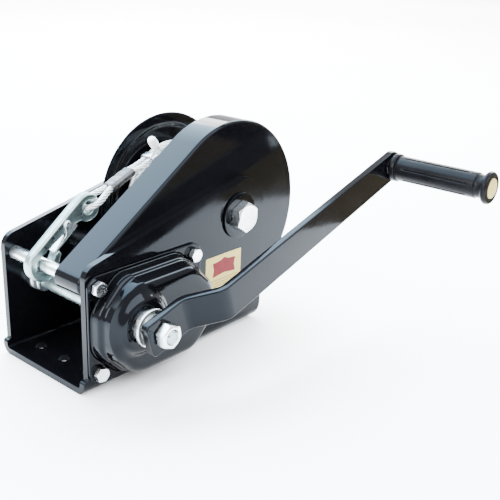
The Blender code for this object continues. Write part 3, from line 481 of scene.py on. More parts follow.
def soften(points, radius, loop, count=3):
    """A polyline, or a loop, with each corner rounded by up to radius."""
    result = []
    total = len(points)
    for i, point in enumerate(points):
        here = Vector(point)
        before = Vector(points[i - 1]) - here
        after = Vector(points[(i + 1) % total]) - here
        if (not loop and i in (0, total - 1) or not before.length or not after.length
                or abs(before.angle(after) - math.pi) < 0.02):
            result.append(tuple(here))
            continue
        start = here + before.normalized() * min(radius, before.length * 0.45)
        end = here + after.normalized() * min(radius, after.length * 0.45)
        for k in range(count + 1):
            t = k / count
            result.append(tuple(start * (1 - t) ** 2 + here * 2 * t * (1 - t) + end * t * t))
    return result


def spin(name, profile, steps=64, shape=None):
    """A turned mesh about z. The profile is (radius, z); shape may change a radius by angle."""
    work = bmesh.new()
    rows = []
    for radius, z in profile:
        row = []
        for i in range(steps if radius > 1e-7 else 1):
            angle = 2 * math.pi * i / steps
            size = shape(radius, z, angle) if shape else radius
            row.append(work.verts.new((*polar(size, angle), z)))
        rows.append(row)
    pairs = list(zip(rows, rows[1:]))
    if profile[0][0] > 1e-7:
        pairs.append((rows[-1], rows[0]))
    for first, second in pairs:
        bridge(work, first, second)
    mesh = closed(work, name)
    smooth(mesh)
    return mesh


def tube(outer, inner, low, high):
    """A ring's profile."""
    return [(outer, high), (outer, low), (inner, low), (inner, high)]


def turn_piece(node, bore=0.0, edge=0.4 * MM, steps=64, material=None):
    """A rod, or a ring with a bore, of its CAD node's length and diameter."""
    low, high = depths(node)
    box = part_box(node)
    radius = (box[1][0] - box[0][0]) / 2
    if bore:
        profile = soften(tube(radius, bore, low, high), edge, True)
    else:
        profile = soften([(0, high), (radius, high), (radius, low), (0, low)], edge, False)
    return replace(node, spin(node, profile, steps), side_matrix(middle(node)), material)


def stepped_piece(node, profile, edge=0.4 * MM, steps=64, axis=None, material=None):
    """A turned piece with its own profile, (radius, depth), run down its outer side."""
    mesh = spin(node, soften(profile, edge, profile[0][0] > 0), steps)
    return replace(node, mesh, side_matrix(axis or middle(node)), material)


def arc(centre, radius, start, end, count):
    points = []
    for i in range(count + 1):
        angle = start + (end - start) * i / count
        points.append((centre[0] + radius * math.cos(angle), centre[1] + radius * math.sin(angle)))
    return points


def circle(centre, radius, count=32):
    return arc(centre, radius, 0, 2 * math.pi, count)[:-1]


def rounded_polygon(corners, radius, count=8):
    """A convex polygon, anticlockwise, with rounded corners. radius may be one per corner."""
    radii = radius if isinstance(radius, (list, tuple)) else [radius] * len(corners)
    points = []
    for i, corner in enumerate(corners):
        here = Vector(corner)
        before = (Vector(corners[i - 1]) - here).normalized()
        after = (Vector(corners[(i + 1) % len(corners)]) - here).normalized()
        half = before.angle(after) / 2
        centre = here + (before + after).normalized() * radii[i] / math.sin(half)
        start = math.atan2(-before.y, -before.x) - math.pi / 2
        points += arc(centre, radii[i], start, start + math.pi - 2 * half, count)
    return points


def direction(start, end):
    return math.atan2(end[1] - start[1], end[0] - start[0])


def smooth_route(points, per_span):
    """Points of a Catmull-Rom curve through the given ones."""
    points = [Vector(point) for point in points]
    route = []
    padded = [points[0] * 2 - points[1]] + points + [points[-1] * 2 - points[-2]]
    for a, b, c, d in zip(padded, padded[1:], padded[2:], padded[3:]):
        for i in range(per_span):
            t = i / per_span
            route.append(0.5 * (2 * b + (c - a) * t + (2 * a - 5 * b + 4 * c - d) * t * t
                                + (3 * b - a - 3 * c + d) * t ** 3))
    route.append(points[-1])
    return route


def skin(work, name, rings):
    """A closed mesh over rings of vertices, capped at both ends."""
    for first, second in zip(rings, rings[1:]):
        bridge(work, first, second)
    work.faces.new(list(reversed(rings[0])))
    work.faces.new(rings[-1])
    return closed(work, name)


def sweep(name, path, section, twist=0.0):
    """A section swept along a path without turning, bar an even twist. section(i) gives points."""
    work = bmesh.new()
    rows = []
    ahead = (path[1] - path[0]).normalized()
    across = ahead.orthogonal().normalized()
    travelled = 0.0
    for i, point in enumerate(path):
        before = path[max(i - 1, 0)]
        after = path[min(i + 1, len(path) - 1)]
        forward = (after - before).normalized()
        across = (across - forward * across.dot(forward)).normalized()
        other = forward.cross(across)
        if i:
            travelled += (point - path[i - 1]).length
        turn = travelled * twist
        cos, sin = math.cos(turn), math.sin(turn)
        row = []
        for x, y in section(i):
            u, v = x * cos - y * sin, x * sin + y * cos
            row.append(work.verts.new(point + across * u + other * v))
        rows.append(row)
    mesh = skin(work, name, rows)
    smooth(mesh, 60)
    return mesh


def loft(name, rows):
    """A closed surface through rows of equal point count."""
    work = bmesh.new()
    return skin(work, name, [[work.verts.new(point) for point in row] for row in rows])


# ---- camera, light and floor

def camera():
    """The view: from the front, left and above, with a little roll and shift."""
    data = configure(bpy.data.cameras.new("camera"), lens=55.3, sensor_width=36, shift_x=-0.038,
                     shift_y=-0.037, clip_start=0.01, clip_end=50)
    obj = linked("camera", data)
    azimuth, elevation, roll = (math.radians(angle) for angle in (-51.6, 19.3, 2.8))
    distance = 0.749
    target = Vector((FRONT + 0.259, 0, 0.048))
    back = Vector((math.sin(azimuth) * math.cos(elevation),
                   -math.cos(azimuth) * math.cos(elevation), math.sin(elevation)))
    turn = back.to_track_quat("Z", "Y").to_matrix() @ Matrix.Rotation(roll, 3, "Z")
    obj.matrix_world = Matrix.Translation(target + back * distance) @ turn.to_4x4()
    bpy.context.scene.camera = obj


def area_light(name, place, aim, size, power, colour=(1, 1, 1)):
    data = configure(bpy.data.lights.new(name, "AREA"), shape="RECTANGLE", size=size[0],
                     size_y=size[1], energy=power, color=colour)
    obj = linked(name, data)
    turn = (Vector(place) - Vector(aim)).to_track_quat("Z", "Y")
    obj.matrix_world = Matrix.Translation(place) @ turn.to_matrix().to_4x4()
    return obj


def card(name, corners, z, colour, shade, scale, detail):
    """A flat staged surface with a faint mottle."""
    work = bmesh.new()
    work.faces.new([work.verts.new((x, y, z)) for x, y in corners])
    material = new_material(name, colour, 0.9)
    tint(material, noise(material, place_of(material), scale, detail), colour, shade)
    mesh = made(work, name)
    mesh.materials.append(material)
    linked(name, mesh)


def stage():
    """A plain pale floor, a dark card of painted shade beside the view, and soft light from all
    round.
    """
    card("floor", rectangle(-16, -16, 16, 16), -0.05 * MM, (0.93, 0.93, 0.93),
         (0.91, 0.91, 0.915), 1.5, 2)
    # painted shade: a dark olive patch on the floor beside the view, standing in for floor the
    # lamps leave unlit, which the gloss paint reflects
    card("card", [(0.20, -0.36), (1.5, -1.7), (3.2, -0.8), (0.9, 0.02)], 0,
         (0.05, 0.034, 0.008), (0.075, 0.054, 0.016), 6, 3)
    world = bpy.data.worlds.new("studio")
    bpy.context.scene.world = world
    world.use_nodes = True
    background = world.node_tree.nodes["Background"]
    background.inputs["Color"].default_value = (0.95, 0.97, 1.0, 1)
    background.inputs["Strength"].default_value = 2.1
    area_light("overhead", (0.0, 0.85, 1.3), (0, 0, 0.1), (1.9, 1.2), 136, (0.56, 0.79, 1.0))
    backdrop = area_light("backdrop", (1.5, 1.6, 1.9), (1.5, 1.4, 0), (3.2, 2.6), 820)
    backdrop.visible_glossy = False
    area_light("left", (-1.2, 0.1, 0.75), (0, 0, 0.08), (0.6, 0.9), 34)
    area_light("right", (1.5, -0.15, 1.35), (0.05, -0.1, 0.05), (0.6, 1.2), 60, (0.8, 0.92, 1.0))
    area_light("front", (0.0, -1.05, 1.15), (0.0, 0, 0.1), (1.8, 0.8), 60, (0.90, 0.95, 1.0))
    area_light("far", (5.5, 5.0, 3.5), (6.0, 5.5, 0), (7.0, 7.0), 3400)


# ---- frame and guard

def side_outline():
    """The side plate: straight front with a lip at the base, slanted top, round rear end."""
    sharp = 0.01 * MM
    front_top = (FRONT, FRONT_HEIGHT)
    slope = direction(front_top, AXLE) + math.asin(ROUND_END / math.dist(front_top, AXLE))
    end = arc(AXLE, ROUND_END, 0, slope + math.pi / 2, 40)
    inside = FRONT + 40 * MM
    corner = rounded_polygon([(FRONT, -30 * MM), (inside, -30 * MM),
                              (inside, FRONT_HEIGHT + 40 * MM * math.tan(slope)), front_top],
                             [sharp, sharp, sharp, FRONT_CORNER], 12)
    corner = [point for point in corner if point[0] < inside - 2 * MM and point[1] > 0]
    rear = AXLE[0] + ROUND_END
    bottom = arc((rear - REAR_CORNER, REAR_CORNER), REAR_CORNER, -math.pi / 2, 0, 14)
    lip = [(x, LIP_TOP + rise) for x, rise in mm((0, 1.5), (-0.2, 0.7), (-0.7, 0.2), (-1.5, 0))]
    lip += arc((LIP_CORNER - LIP, LIP_TOP - LIP_CORNER), LIP_CORNER, math.pi / 2, math.pi, 8)
    foot = [(FRONT - LIP, -2 * MM), (rear - 30 * MM, -2 * MM), (rear - 30 * MM, 0)]
    return foot + bottom + end + corner + [(FRONT + x, z) for x, z in lip]


def frame_plate():
    half = WIDTH / 2
    top = FRAME_HIGH.z + 10 * MM
    centre = (-half + BEND_RADIUS, BEND_RADIUS)
    outside = [(-half, top)] + arc(centre, BEND_RADIUS, math.pi, 1.5 * math.pi, 12)
    inside = [(-half + PLATE, top)] + arc(centre, BEND_RADIUS - PLATE, math.pi, 1.5 * math.pi, 12)
    left = outside + [(-x, y) for x, y in reversed(outside)]
    right = inside + [(-x, y) for x, y in reversed(inside)]
    channel = prism("channel", [left + right[::-1]], FRONT - LIP - 0.01 * MM,
                    FRONT + LENGTH + 5 * MM)
    along = Matrix.Rotation(math.pi / 2, 4, "Z") @ Matrix.Rotation(math.pi / 2, 4, "X")
    channel.transform(along)
    cutters = [(side_cut(side_outline()), "INTERSECT")]
    for axis, radius in (GUARD_BORES[0], (SHAFT, 9 * MM), *GUARD_BORES[1:]):
        cutters.append((side_cut(circle(axis, radius, 40)), "DIFFERENCE"))
    hole_radius, slot_half = 5 * MM, 4 * MM
    front_x, slot_x = FRONT + 16 * MM, FRONT + 150 * MM
    holes = [circle((front_x, y), hole_radius, 40) for y in (-29 * MM, 0, 29 * MM)]
    for y in (-24 * MM, 24 * MM):
        holes.append(arc((slot_x - slot_half, y), hole_radius, math.pi / 2, 1.5 * math.pi, 16)
                     + arc((slot_x + slot_half, y), hole_radius, -math.pi / 2, math.pi / 2, 16))
    cutters += [hole(outline, -10 * MM, 10 * MM) for outline in holes]
    mesh = combine("frame_plate", channel, cutters)
    smooth(mesh, 30)
    obj = replace("frame_plate", mesh, Matrix.Identity(4))
    round_edges(obj, 0.9 * MM, 3, 50)
    flatten(obj)


def side_cut(outline):
    """A prism through both side plates, in the model's own frame."""
    mesh = prism("cut", [outline], -WIDTH - 5 * MM, 5 * MM)
    mesh.transform(side_matrix())
    return mesh


def guard_outline(shrink):
    """Round the gear and over the tie rod, open below; the outline shrunk by a distance."""
    nose = GUARD_NOSE - shrink
    slope = (direction(TIE, AXLE)
             + math.asin((GUARD_RADIUS - GUARD_NOSE) / math.dist(TIE, AXLE)))
    touch = slope + math.pi / 2
    return (arc(AXLE, GUARD_RADIUS - shrink, GUARD_REAR_ANGLE, touch, 90)
            + arc(TIE, nose, touch, 1.5 * math.pi, 24))


def gear_guard():
    """A pressed pan: a flat face, a rounded corner, and a wall open below."""
    levels = arc((GUARD_FILLET, GUARD_FACE - GUARD_FILLET), GUARD_FILLET, math.pi / 2, math.pi, 6)
    levels += [(0, GUARD_EDGE + 2 * MM), (0, GUARD_EDGE)]
    work = bmesh.new()
    rows = [[work.verts.new((x, y, z)) for x, y in guard_outline(inset)] for inset, z in levels]
    work.faces.new(rows[0])
    for first, second in zip(rows, rows[1:]):
        for i in range(len(first) - 1):
            work.faces.new((first[i], first[i + 1], second[i + 1], second[i]))
    obj = linked("gear_guard_sheet", closed(work, "gear_guard"))
    configure(obj.modifiers.new("sheet", "SOLIDIFY"), thickness=GUARD_SHEET, offset=-1,
              use_even_offset=True)
    mesh = evaluated(obj, "gear_guard")
    bores = [hole(circle(axis, radius, 40), -20 * MM, 5 * MM) for axis, radius in GUARD_BORES]
    mesh = combine("gear_guard", mesh, bores)
    smooth(mesh, 30)
    obj = replace("gear_guard", mesh, side_matrix())
    round_edges(obj, 0.4 * MM, 2, 55)
    flatten(obj)


# ---- fasteners

def ring(work, radius, z, count):
    return [work.verts.new((x, y, z)) for x, y in circle((0, 0), radius, count)]


def hex_mesh(name, across, low, high, bore=0.0, washer=0.0, crown=0.95):
    """A hexagon with its top corners cut by a cone, and a washer face under it."""
    flat = across / 2
    steps = 72
    crown = flat * crown
    slope = math.tan(math.radians(28))
    work = bmesh.new()
    rings = [[], [], []]
    base = low + washer
    for i in range(steps):
        angle = 2 * math.pi * i / steps
        corner = (angle + math.pi / 6) % (math.pi / 3) - math.pi / 6
        radius = flat / math.cos(corner)
        shoulder = high - (radius - crown) * slope
        for row, (size, z) in zip(rings, ((radius, base), (radius, shoulder), (crown, high))):
            row.append(work.verts.new((*polar(size, angle), z)))
    if washer:
        rings = [ring(work, flat * 0.95, z, steps) for z in (low, base)] + rings
    if bore:
        chamfer = 0.6 * MM
        rings += [ring(work, size, z, steps) for size, z in
                  ((bore + chamfer, high), (bore, high - chamfer), (bore, low))]
        rings.append(rings[0])
    else:
        rings.append(ring(work, 0.62 * flat, high - 0.25 * MM, steps))
        work.faces.new(rings[-1])
        work.faces.new(list(reversed(rings[0])))
    for first, second in zip(rings, rings[1:]):
        bridge(work, first, second)
    mesh = closed(work, name)
    smooth(mesh, 25)
    return mesh


def thread_profile(radius, low, high, pitch):
    """A rod's outer side with rings that stand for a thread, from high down to low."""
    points = [(0, high), (radius - 0.8 * pitch, high), (radius, high - 0.8 * pitch)]
    count = int((high - low) / pitch) - 1
    for i in range(count):
        z = high - 0.8 * pitch - i * pitch
        points += [(radius, z - 0.15 * pitch), (radius - 0.5 * pitch, z - 0.6 * pitch),
                   (radius, z - pitch)]
    points.append((radius, low))
    return points


def join(name, meshes):
    work = bmesh.new()
    for mesh in meshes:
        work.from_mesh(mesh)
    result = made(work, name)
    smooth(result, 30)
    return result


def fasteners():
    for node in COVER_BOLTS:
        low, high = depths(node)
        head = high - 4.6 * MM
        turn = 0.35 + 0.5 * len(node)
        shank = spin("shank", [(0, head + 0.5 * MM), (3 * MM, head + 0.5 * MM), (3 * MM, low),
                               (0, low)], 24)
        mesh = join(node, [hex_mesh(node, 10 * MM, head, high, washer=0.5 * MM), shank])
        round_edges(replace(node, mesh, side_matrix(middle(node), turn)), 0.35 * MM, 2, 25)

    low, high = depths("axle_bolt")
    head = high - 8.4 * MM
    radius = 7 * MM
    thread_end = -WIDTH + 2 * MM
    shank = [(0, head + 1 * MM), (radius, head + 1 * MM), (radius, thread_end)]
    shank += [(size, low + thread_end - z) for size, z in
              reversed(thread_profile(radius, low, thread_end, 1.5 * MM))]
    mesh = join("axle_bolt", [hex_mesh("head", 22 * MM, head, high), spin("shank", shank, 48)])
    bolt = replace("axle_bolt", mesh, side_matrix(AXLE, math.radians(-4)))
    turn_piece("axle_washer", AXLE_BORE)
    turn_piece("axle_washer_far", AXLE_BORE)
    nut = replace("axle_nut", hex_mesh("axle_nut", 22 * MM, 2.7 * MM, 12.7 * MM, bore=AXLE_BORE),
                  far_matrix(AXLE))
    for obj in (bolt, nut):
        round_edges(obj, 0.5 * MM, 2, 25)

    turn_piece("tie_rod", edge=0.6 * MM)
    turn_piece("tie_rod_washer", 3.3 * MM)
    mesh = hex_mesh("tie_rod_bolt", 10 * MM, 2.2 * MM, 6.4 * MM, washer=0.5 * MM)
    round_edges(replace("tie_rod_bolt", mesh, far_matrix(TIE)), 0.35 * MM, 2, 25)


# ---- drum and shafts

def lobed(radius, strands, points):
    """A rope's section: round strands side by side in a ring."""
    strand = radius / (1 + 1 / math.sin(math.pi / strands))
    seat = radius - strand
    section = []
    for i in range(points):
        angle = 2 * math.pi * i / points
        off = (angle + math.pi / strands) % (2 * math.pi / strands) - math.pi / strands
        size = seat * math.cos(off) + math.sqrt(max(strand ** 2 - (seat * math.sin(off)) ** 2, 0))
        section.append(polar(size, angle))
    return section


def winding():
    """The outer layer of rope as one long coil, over a plain core."""
    low, high = depths("rope_winding")
    radius = WINDING_RADIUS - ROPE
    turns = int((high - low) / (2 * ROPE))
    pitch = (high - low - 2 * ROPE) / (turns - 1)
    per_turn = 96
    path = []
    for i in range((turns - 1) * per_turn + per_turn // 2):
        angle = 2 * math.pi * i / per_turn
        depth = min(high - ROPE, low + ROPE + pitch * i / per_turn)
        path.append(Vector((*polar(radius, angle), depth)))
    section = lobed(ROPE, STRANDS, 24)
    coil = sweep("coil", path, lambda i: section, 2 * math.pi / LAY)
    core = spin("core", soften(tube(radius, DRUM_BORE, low, high), 0.5 * MM, True), 96)
    mesh = join("rope_winding", [coil, core])
    smooth(mesh, 60)
    replace("rope_winding", mesh, side_matrix(AXLE))


def drum():
    turn_piece("drum_barrel", 10.5 * MM, steps=96)
    low, high = depths("drum_flange_near")
    stepped_piece("drum_flange_near", tube(66 * MM, DRUM_BORE, low, high), 0.8 * MM, 128, AXLE)
    low, high = depths("drum_flange_far")
    sheet = 2 * MM
    rim = 71 * MM
    profile = [(rim, high), (rim, high - sheet), (61 * MM, high - sheet), (57 * MM, low),
               (DRUM_BORE, low), (DRUM_BORE, low + sheet), (58.5 * MM, low + sheet),
               (62.5 * MM, high)]
    stepped_piece("drum_flange_far", profile, 1.6 * MM, 160, AXLE)
    flange, sleeve = 15 * MM, 10.2 * MM
    low, high = depths("drum_bush_near")
    step = high - 2 * MM
    stepped_piece("drum_bush_near", [(flange, high), (flange, step), (sleeve, step), (sleeve, low),
                                     (AXLE_BORE, low), (AXLE_BORE, high)], axis=AXLE)
    far_bush("drum_bush_far", sleeve, flange, 0.8 * MM, AXLE_BORE, 0.25 * MM, AXLE)
    winding()


def far_bush(node, sleeve, flange, thick, bore, edge, axis):
    """A bush with its flange at the far end."""
    low, high = depths(node)
    step = low + thick
    stepped_piece(node, [(sleeve, high), (sleeve, step), (flange, step), (flange, low),
                         (bore, low), (bore, high)], edge, axis=axis)


def shafts():
    turn_piece("countershaft", edge=0.8 * MM)
    for node in ("countershaft_clip_near", "countershaft_clip_far"):
        turn_piece(node, COUNTER_BORE, 0.3 * MM)
    turn_piece("countershaft_spacer", COUNTER_BORE)
    low, high = depths("drive_shaft")
    stud, neck, body = 5 * MM, 6 * MM, 7 * MM
    shoulder = ARM_LOW - 0.5 * MM
    inside = -(WIDTH - PLATE) + 0.3 * MM
    profile = thread_profile(stud, ARM_LOW + 2 * MM, high, 1.25 * MM)
    profile += [(stud, shoulder), (neck, shoulder), (neck, 2.2 * MM), (body, 2.2 * MM),
                (body, inside), (neck, inside), (neck, low), (0, low)]
    stepped_piece("drive_shaft", profile, 0.25 * MM, 64, SHAFT, "galvanised")
    for node in ("shaft_ring", "shaft_collar"):
        turn_piece(node, 7.3 * MM, 0.8 * MM)
    turn_piece("shaft_clip_far", COUNTER_BORE, 0.3 * MM)
    far_bush("shaft_bush_far", 8.7 * MM, 11 * MM, 1.6 * MM, COUNTER_BORE, 0.3 * MM, SHAFT)


# ---- brake cover, crank and grip

def cover_section(inset):
    """The raised part's outline at its foot, its corners cut back clear of the bolts."""
    low = (COVER_LOW.x + 2 * MM + inset, COVER_LOW.y + 2.1 * MM + inset)
    high = (COVER_HIGH.x - 2 * MM - inset, COVER_HIGH.y - 2.3 * MM - inset)
    cut = 23 * MM - 0.586 * inset
    corners = [(low[0] + cut, low[1]), (high[0] - cut, low[1]), (high[0], low[1] + cut),
               (high[0], high[1] - cut), (high[0] - cut, high[1]), (low[0] + cut, high[1]),
               (low[0], high[1] - cut), (low[0], low[1] + cut)]
    return rounded_polygon(corners, 19 * MM, 10)


def stack(name, section, levels):
    """A loft of section(size) over (size, z) levels."""
    return loft(name, [[(x, y, z) for x, y in section(size)] for size, z in levels])


def brake_cover():
    """A pressed cover: flange, stepped walls and a round boss about the drive shaft."""
    foot = 0.3 * MM
    outline = rounded_polygon(rectangle(*COVER_LOW, *COVER_HIGH), 9 * MM, 10)
    flange = prism("flange", [outline], foot, foot + COVER_SHEET, 0.6 * MM)
    # the wall as (inset, depth): a foot, a step, then a wide round shoulder
    levels = soften(mm((-1.6, 2.3), (0.2, 2.3), (0.8, 9.6), (3.2, 11.4), (4, 21.4), (7.5, 24.6),
                       (14, 25)), 2.2 * MM, False, 4)
    outer = stack("outer", cover_section, levels)
    levels = [(inset + 0.55 * COVER_SHEET, z - COVER_SHEET) for inset, z in levels[3:]]
    levels.insert(0, (levels[0][0], foot - 5 * MM))
    inner = stack("inner", cover_section, levels)
    top = COVER_DEPTH
    levels = soften([(BOSS_RADIUS + 4 * MM, top - 1 * MM), (BOSS_RADIUS - 1 * MM, top + 0.6 * MM),
                     (BOSS_RADIUS - 5 * MM, BOSS_DEPTH), (14 * MM, BOSS_DEPTH)], 3 * MM, False, 8)
    boss = stack("boss", lambda size: circle(SHAFT, size, 96), levels)
    levels = [(BOSS_RADIUS - 5 * MM, top - 6 * MM), (BOSS_RADIUS - 5 * MM, top - 1 * MM),
              (BOSS_RADIUS - 7 * MM, BOSS_DEPTH - COVER_SHEET)]
    hollow = stack("hollow", lambda size: circle(SHAFT, size, 64), levels)
    cutters = [(outer, "UNION"), (boss, "UNION"), (inner, "DIFFERENCE"), (hollow, "DIFFERENCE"),
               hole(circle(SHAFT, 12.6 * MM, 64), 15 * MM, 40 * MM)]
    cutters += [hole(circle(middle(node), COVER_BOLT_BORE), -5 * MM, 5 * MM)
                for node in COVER_BOLTS]
    mesh = combine("brake_cover", flange, cutters)
    smooth(mesh, 38)
    flatten(replace("brake_cover", mesh, side_matrix()))


def crank_hub():
    """The brake's hub on the shaft's thread, and the collar between it and the crank."""
    low, high = depths("brake_hub")
    step, neck = 20 * MM, 33.4 * MM
    stepped_piece("brake_hub", [(12 * MM, neck), (12 * MM, step), (18 * MM, step), (18 * MM, low),
                                (6.3 * MM, low), (6.3 * MM, high), (9 * MM, high), (9 * MM, neck)],
                  0.5 * MM, 72, SHAFT)
    low, high = depths("crank_collar")
    stepped_piece("crank_collar", [(13.8 * MM, high), (13.8 * MM, low), (9.3 * MM, low),
                                   (9.3 * MM, high - 0.6 * MM), (10.2 * MM, high)],
                  0.5 * MM, 72, SHAFT)


def arm_section(half):
    """The bar's section, half its width across and its thickness out, with rounded edges."""
    out = ARM_THICKNESS / 2
    return rounded_polygon(rectangle(-half, -out, half, out), min(1.1 * MM, half * 0.9), 3)


def arm_route():
    """The bar's middle line as (along, out), with round bends at both ends of the slope."""
    low = ARM_LOW + ARM_THICKNESS / 2
    high = ARM_HIGH + ARM_THICKNESS / 2
    slope = math.atan2(high - low, BEND_END - BEND_START)
    radius = 12 * MM
    cut = radius * math.tan(slope / 2)
    end = ARM_WIDTH / 2
    route = [(-end * math.cos(math.pi / 2 * i / 14), low) for i in range(15)]
    route += arc((BEND_START - cut, low + radius), radius, -math.pi / 2, -math.pi / 2 + slope, 10)
    route += arc((BEND_END + cut, high - radius), radius, math.pi / 2 + slope, math.pi / 2, 10)
    route += [(ARM_LENGTH + end * math.sin(math.pi / 2 * i / 14), high) for i in range(15)]
    return route


def crank_arm():
    """A flat bar, cut square at the hub and rounded at the grip, and its nut."""
    route = arm_route()
    end = ARM_WIDTH / 2
    rows = []
    for i, (x, z) in enumerate(route):
        before = route[max(i - 1, 0)]
        after = route[min(i + 1, len(route) - 1)]
        lean = math.atan2(after[1] - before[1], after[0] - before[0])
        reach = max(-x, x - ARM_LENGTH, 0)
        half = max(math.sqrt(max(end ** 2 - reach ** 2, 0)), 0.8 * MM)
        if x < 0:
            half = end - 3 * MM * max(0, reach / end * 4 - 3) ** 2
        rows.append([(x - out * math.sin(lean), across, z + out * math.cos(lean))
                     for across, out in arm_section(half)])
    bores = [hole(circle((x, 0), radius, 40), 20 * MM, 90 * MM)
             for x, radius in ((0, 5.3 * MM), (ARM_LENGTH, PIN_BORE))]
    mesh = combine("crank_arm", loft("bar", rows), bores)
    smooth(mesh, 38)
    flatten(replace("crank_arm", mesh, side_matrix(SHAFT, ARM_ANGLE)))
    low, high = depths("crank_nut")
    mesh = hex_mesh("crank_nut", 16 * MM, low, high, bore=5.3 * MM, washer=0.6 * MM, crown=0.87)
    round_edges(replace("crank_nut", mesh, side_matrix(SHAFT, math.radians(10))), 0.6 * MM, 3, 25)


def grip_shape(radius, z, angle):
    """Six narrow grooves along the grip's body, with square ends."""
    start, end = GRIP_LOW + 12 * MM, GRIP_HIGH - 19 * MM
    if not (start < z < end) or radius < 10 * MM:
        return radius
    step = math.pi / 3
    off = abs((angle + step / 2 + 0.2) % step - step / 2) * radius
    depth = 0.7 * MM * min(max((0.95 * MM - off) / (0.55 * MM), 0), 1)
    return radius - depth


def grip():
    low, high, body = GRIP_LOW, GRIP_HIGH, 10.8 * MM
    outer = soften(below(high, (0, 1.2), (8.6, 1.2), (8.6, 0), (12.4, 0), (13.6, 1.6), (13.6, 4),
                         (12.3, 5.6), (9.8, 6.8), (9.8, 12), (10.8, 12.6)), 0.8 * MM, False)
    top, length = high - 14 * MM, high - low - 21 * MM
    outer += [(body, top - length * i / 60) for i in range(61)]
    inner = soften(below(low, (10.8, -6.4), (10, -6), (10, -5), (11.9, -4.6), (12.2, -0.8),
                         (11.6, 0), (4.3, 0)) + below(high, (4.3, 8), (0, 8)), 0.4 * MM, False)
    replace("grip", spin("grip", outer + inner, 192, grip_shape), side_matrix(GRIP))
    low, high = depths("grip_cap")
    stepped_piece("grip_cap", below(high, (0, 0), (7.2, 0.1), (8.3, 0.8)) + [(8.3 * MM, low),
                                                                            (0, low)],
                  0.4 * MM, 64, GRIP)
    turn_piece("grip_washer", PIN_BORE)
    low, high = depths("grip_pin")
    step = ARM_HIGH - 0.3 * MM
    stepped_piece("grip_pin", [(0, high), (4 * MM, high), (4 * MM, step), (7 * MM, step),
                               (6 * MM, low + 0.6 * MM), (0, low)], 0.5 * MM, 48, GRIP)


def label():
    """A foil label with a red panel and three plain lines, and no words."""
    low = (FRONT + 118 * MM, 41 * MM)
    high = (FRONT + 160 * MM, 71 * MM)
    corners = rounded_polygon(rectangle(*low, *high), 0.8 * MM, 4)
    foil_top = 0.16 * MM
    layers = [("label_foil", "label_foil", corners, 0.02 * MM, foil_top, "cream_plastic")]
    panel = mm((126, 53), (127.5, 59), (126, 65), (135, 66), (139.5, 68), (144, 66), (153, 65),
               (151.5, 59), (153, 53), (139.5, 54.6))
    panel = [(FRONT + x, y) for x, y in panel]
    layers.append(("label_panel", "label_red", panel, foil_top, 0.22 * MM, "friction"))
    for i, (inset, height) in enumerate(mm((4, 49.2), (6, 46.6), (9, 44.2))):
        corners = rectangle(low[0] + inset, height, high[0] - inset, height + 1.1 * MM)
        layers.append((f"label_line_{i}", "label_line", corners, foil_top, 0.2 * MM,
                       "cream_plastic"))
    for name, material, outline, base, top, slot in layers:
        add_piece(name, prism(name, [outline], base, top), side_matrix(), "winch_frame", material)


# ---- hook and rope

def hook_matrix():
    """x along the shank to the eye, y square to it, z towards the crank, at the tie rod."""
    matrix = side_matrix(TIE, HOOK_TURN)
    matrix.translation.y = HOOK_Y
    return matrix


def snap_hook():
    """A forged hook: bowl round the tie rod, deep straight body, and an eye for the rope."""
    tip = (11.8 * MM, -4.6 * MM)
    eye = (EYE_DISTANCE, 0)
    outline = arc((0, 0), BOWL_OUTER, math.radians(92), math.radians(310), 48)
    outline += arc(tip, 3.2 * MM, math.radians(-60), math.radians(110), 16)
    outline += arc((0, 0), BOWL_INNER, math.radians(318), math.radians(100), 40)
    inner = smooth_route(mm((0.5, 6.0, 0), (6, 5.6, 0), (13, 4.6, 0), (19, 3.6, 0), (25, 2.6, 0),
                            (30, 1.6, 0), (36, 0.4, 0), (41, -1.4, 0)), 4)
    outline += [(point.x, point.y) for point in inner]
    outline += arc(eye, EYE_RING, math.radians(196), math.radians(448), 48)
    body = prism("snap_hook", [outline, circle(eye, EYE_HOLE, 40)], -HOOK_HALF, HOOK_HALF,
                 2.0 * MM, 5)
    smooth(body, 50)
    replace("snap_hook", body, hook_matrix(), "galvanised")


def latch():
    """A folded strip: two ears on a rivet and a tongue to the hook's point."""
    half = LATCH_HALF
    inner = half - 0.8 * MM
    outline = mm((12, -1.15), (24, -1.1), (33, -1.2), (36.8, -1.4), (37.8, -0.5), (37.4, 1.2),
                 (36.6, 4.2))
    outline += arc(LATCH_PIVOT, 3 * MM, -0.3, 2.8, 14)
    outline += mm((28.5, 4.2), (26, 1.6), (20, 1.0), (12, 0.6))
    channel = mm((10, -0.55), (24, -0.25), (33, 0.1), (39, -0.3), (42, 3), (44, 16), (8, 16))
    outline, channel = ([(x - LATCH_PIVOT[0], y - LATCH_PIVOT[1]) for x, y in points]
                        for points in (outline, channel))
    mesh = prism("hook_latch", [outline, circle((0, 0), 1.7 * MM, 24)], -half, half, 0.3 * MM)
    mesh = combine("hook_latch", mesh, [hole(channel, -inner, inner)])
    smooth(mesh, 35)
    pin = hook_matrix() @ Matrix.Translation((*LATCH_PIVOT, 0))
    replace("hook_latch", mesh, pin, "zinc")
    reach, head = 6.2 * MM, half + 0.2 * MM
    side = [(0, reach), (2.4 * MM, reach), (2.6 * MM, head), (1.4 * MM, head)]
    profile = soften(side + [(radius, -z) for radius, z in reversed(side)], 0.3 * MM, False)
    replace("latch_pin", spin("latch_pin", profile, 32), pin)


def rope_line():
    """The rope's slope from the hook's eye to the top of the winding, and its length."""
    reach = WINDING_RADIUS + ROPE + 0.3 * MM
    across = math.dist(EYE, AXLE)
    slope = direction(EYE, AXLE) + math.asin(reach / across)
    return slope, math.sqrt(across ** 2 - reach ** 2)


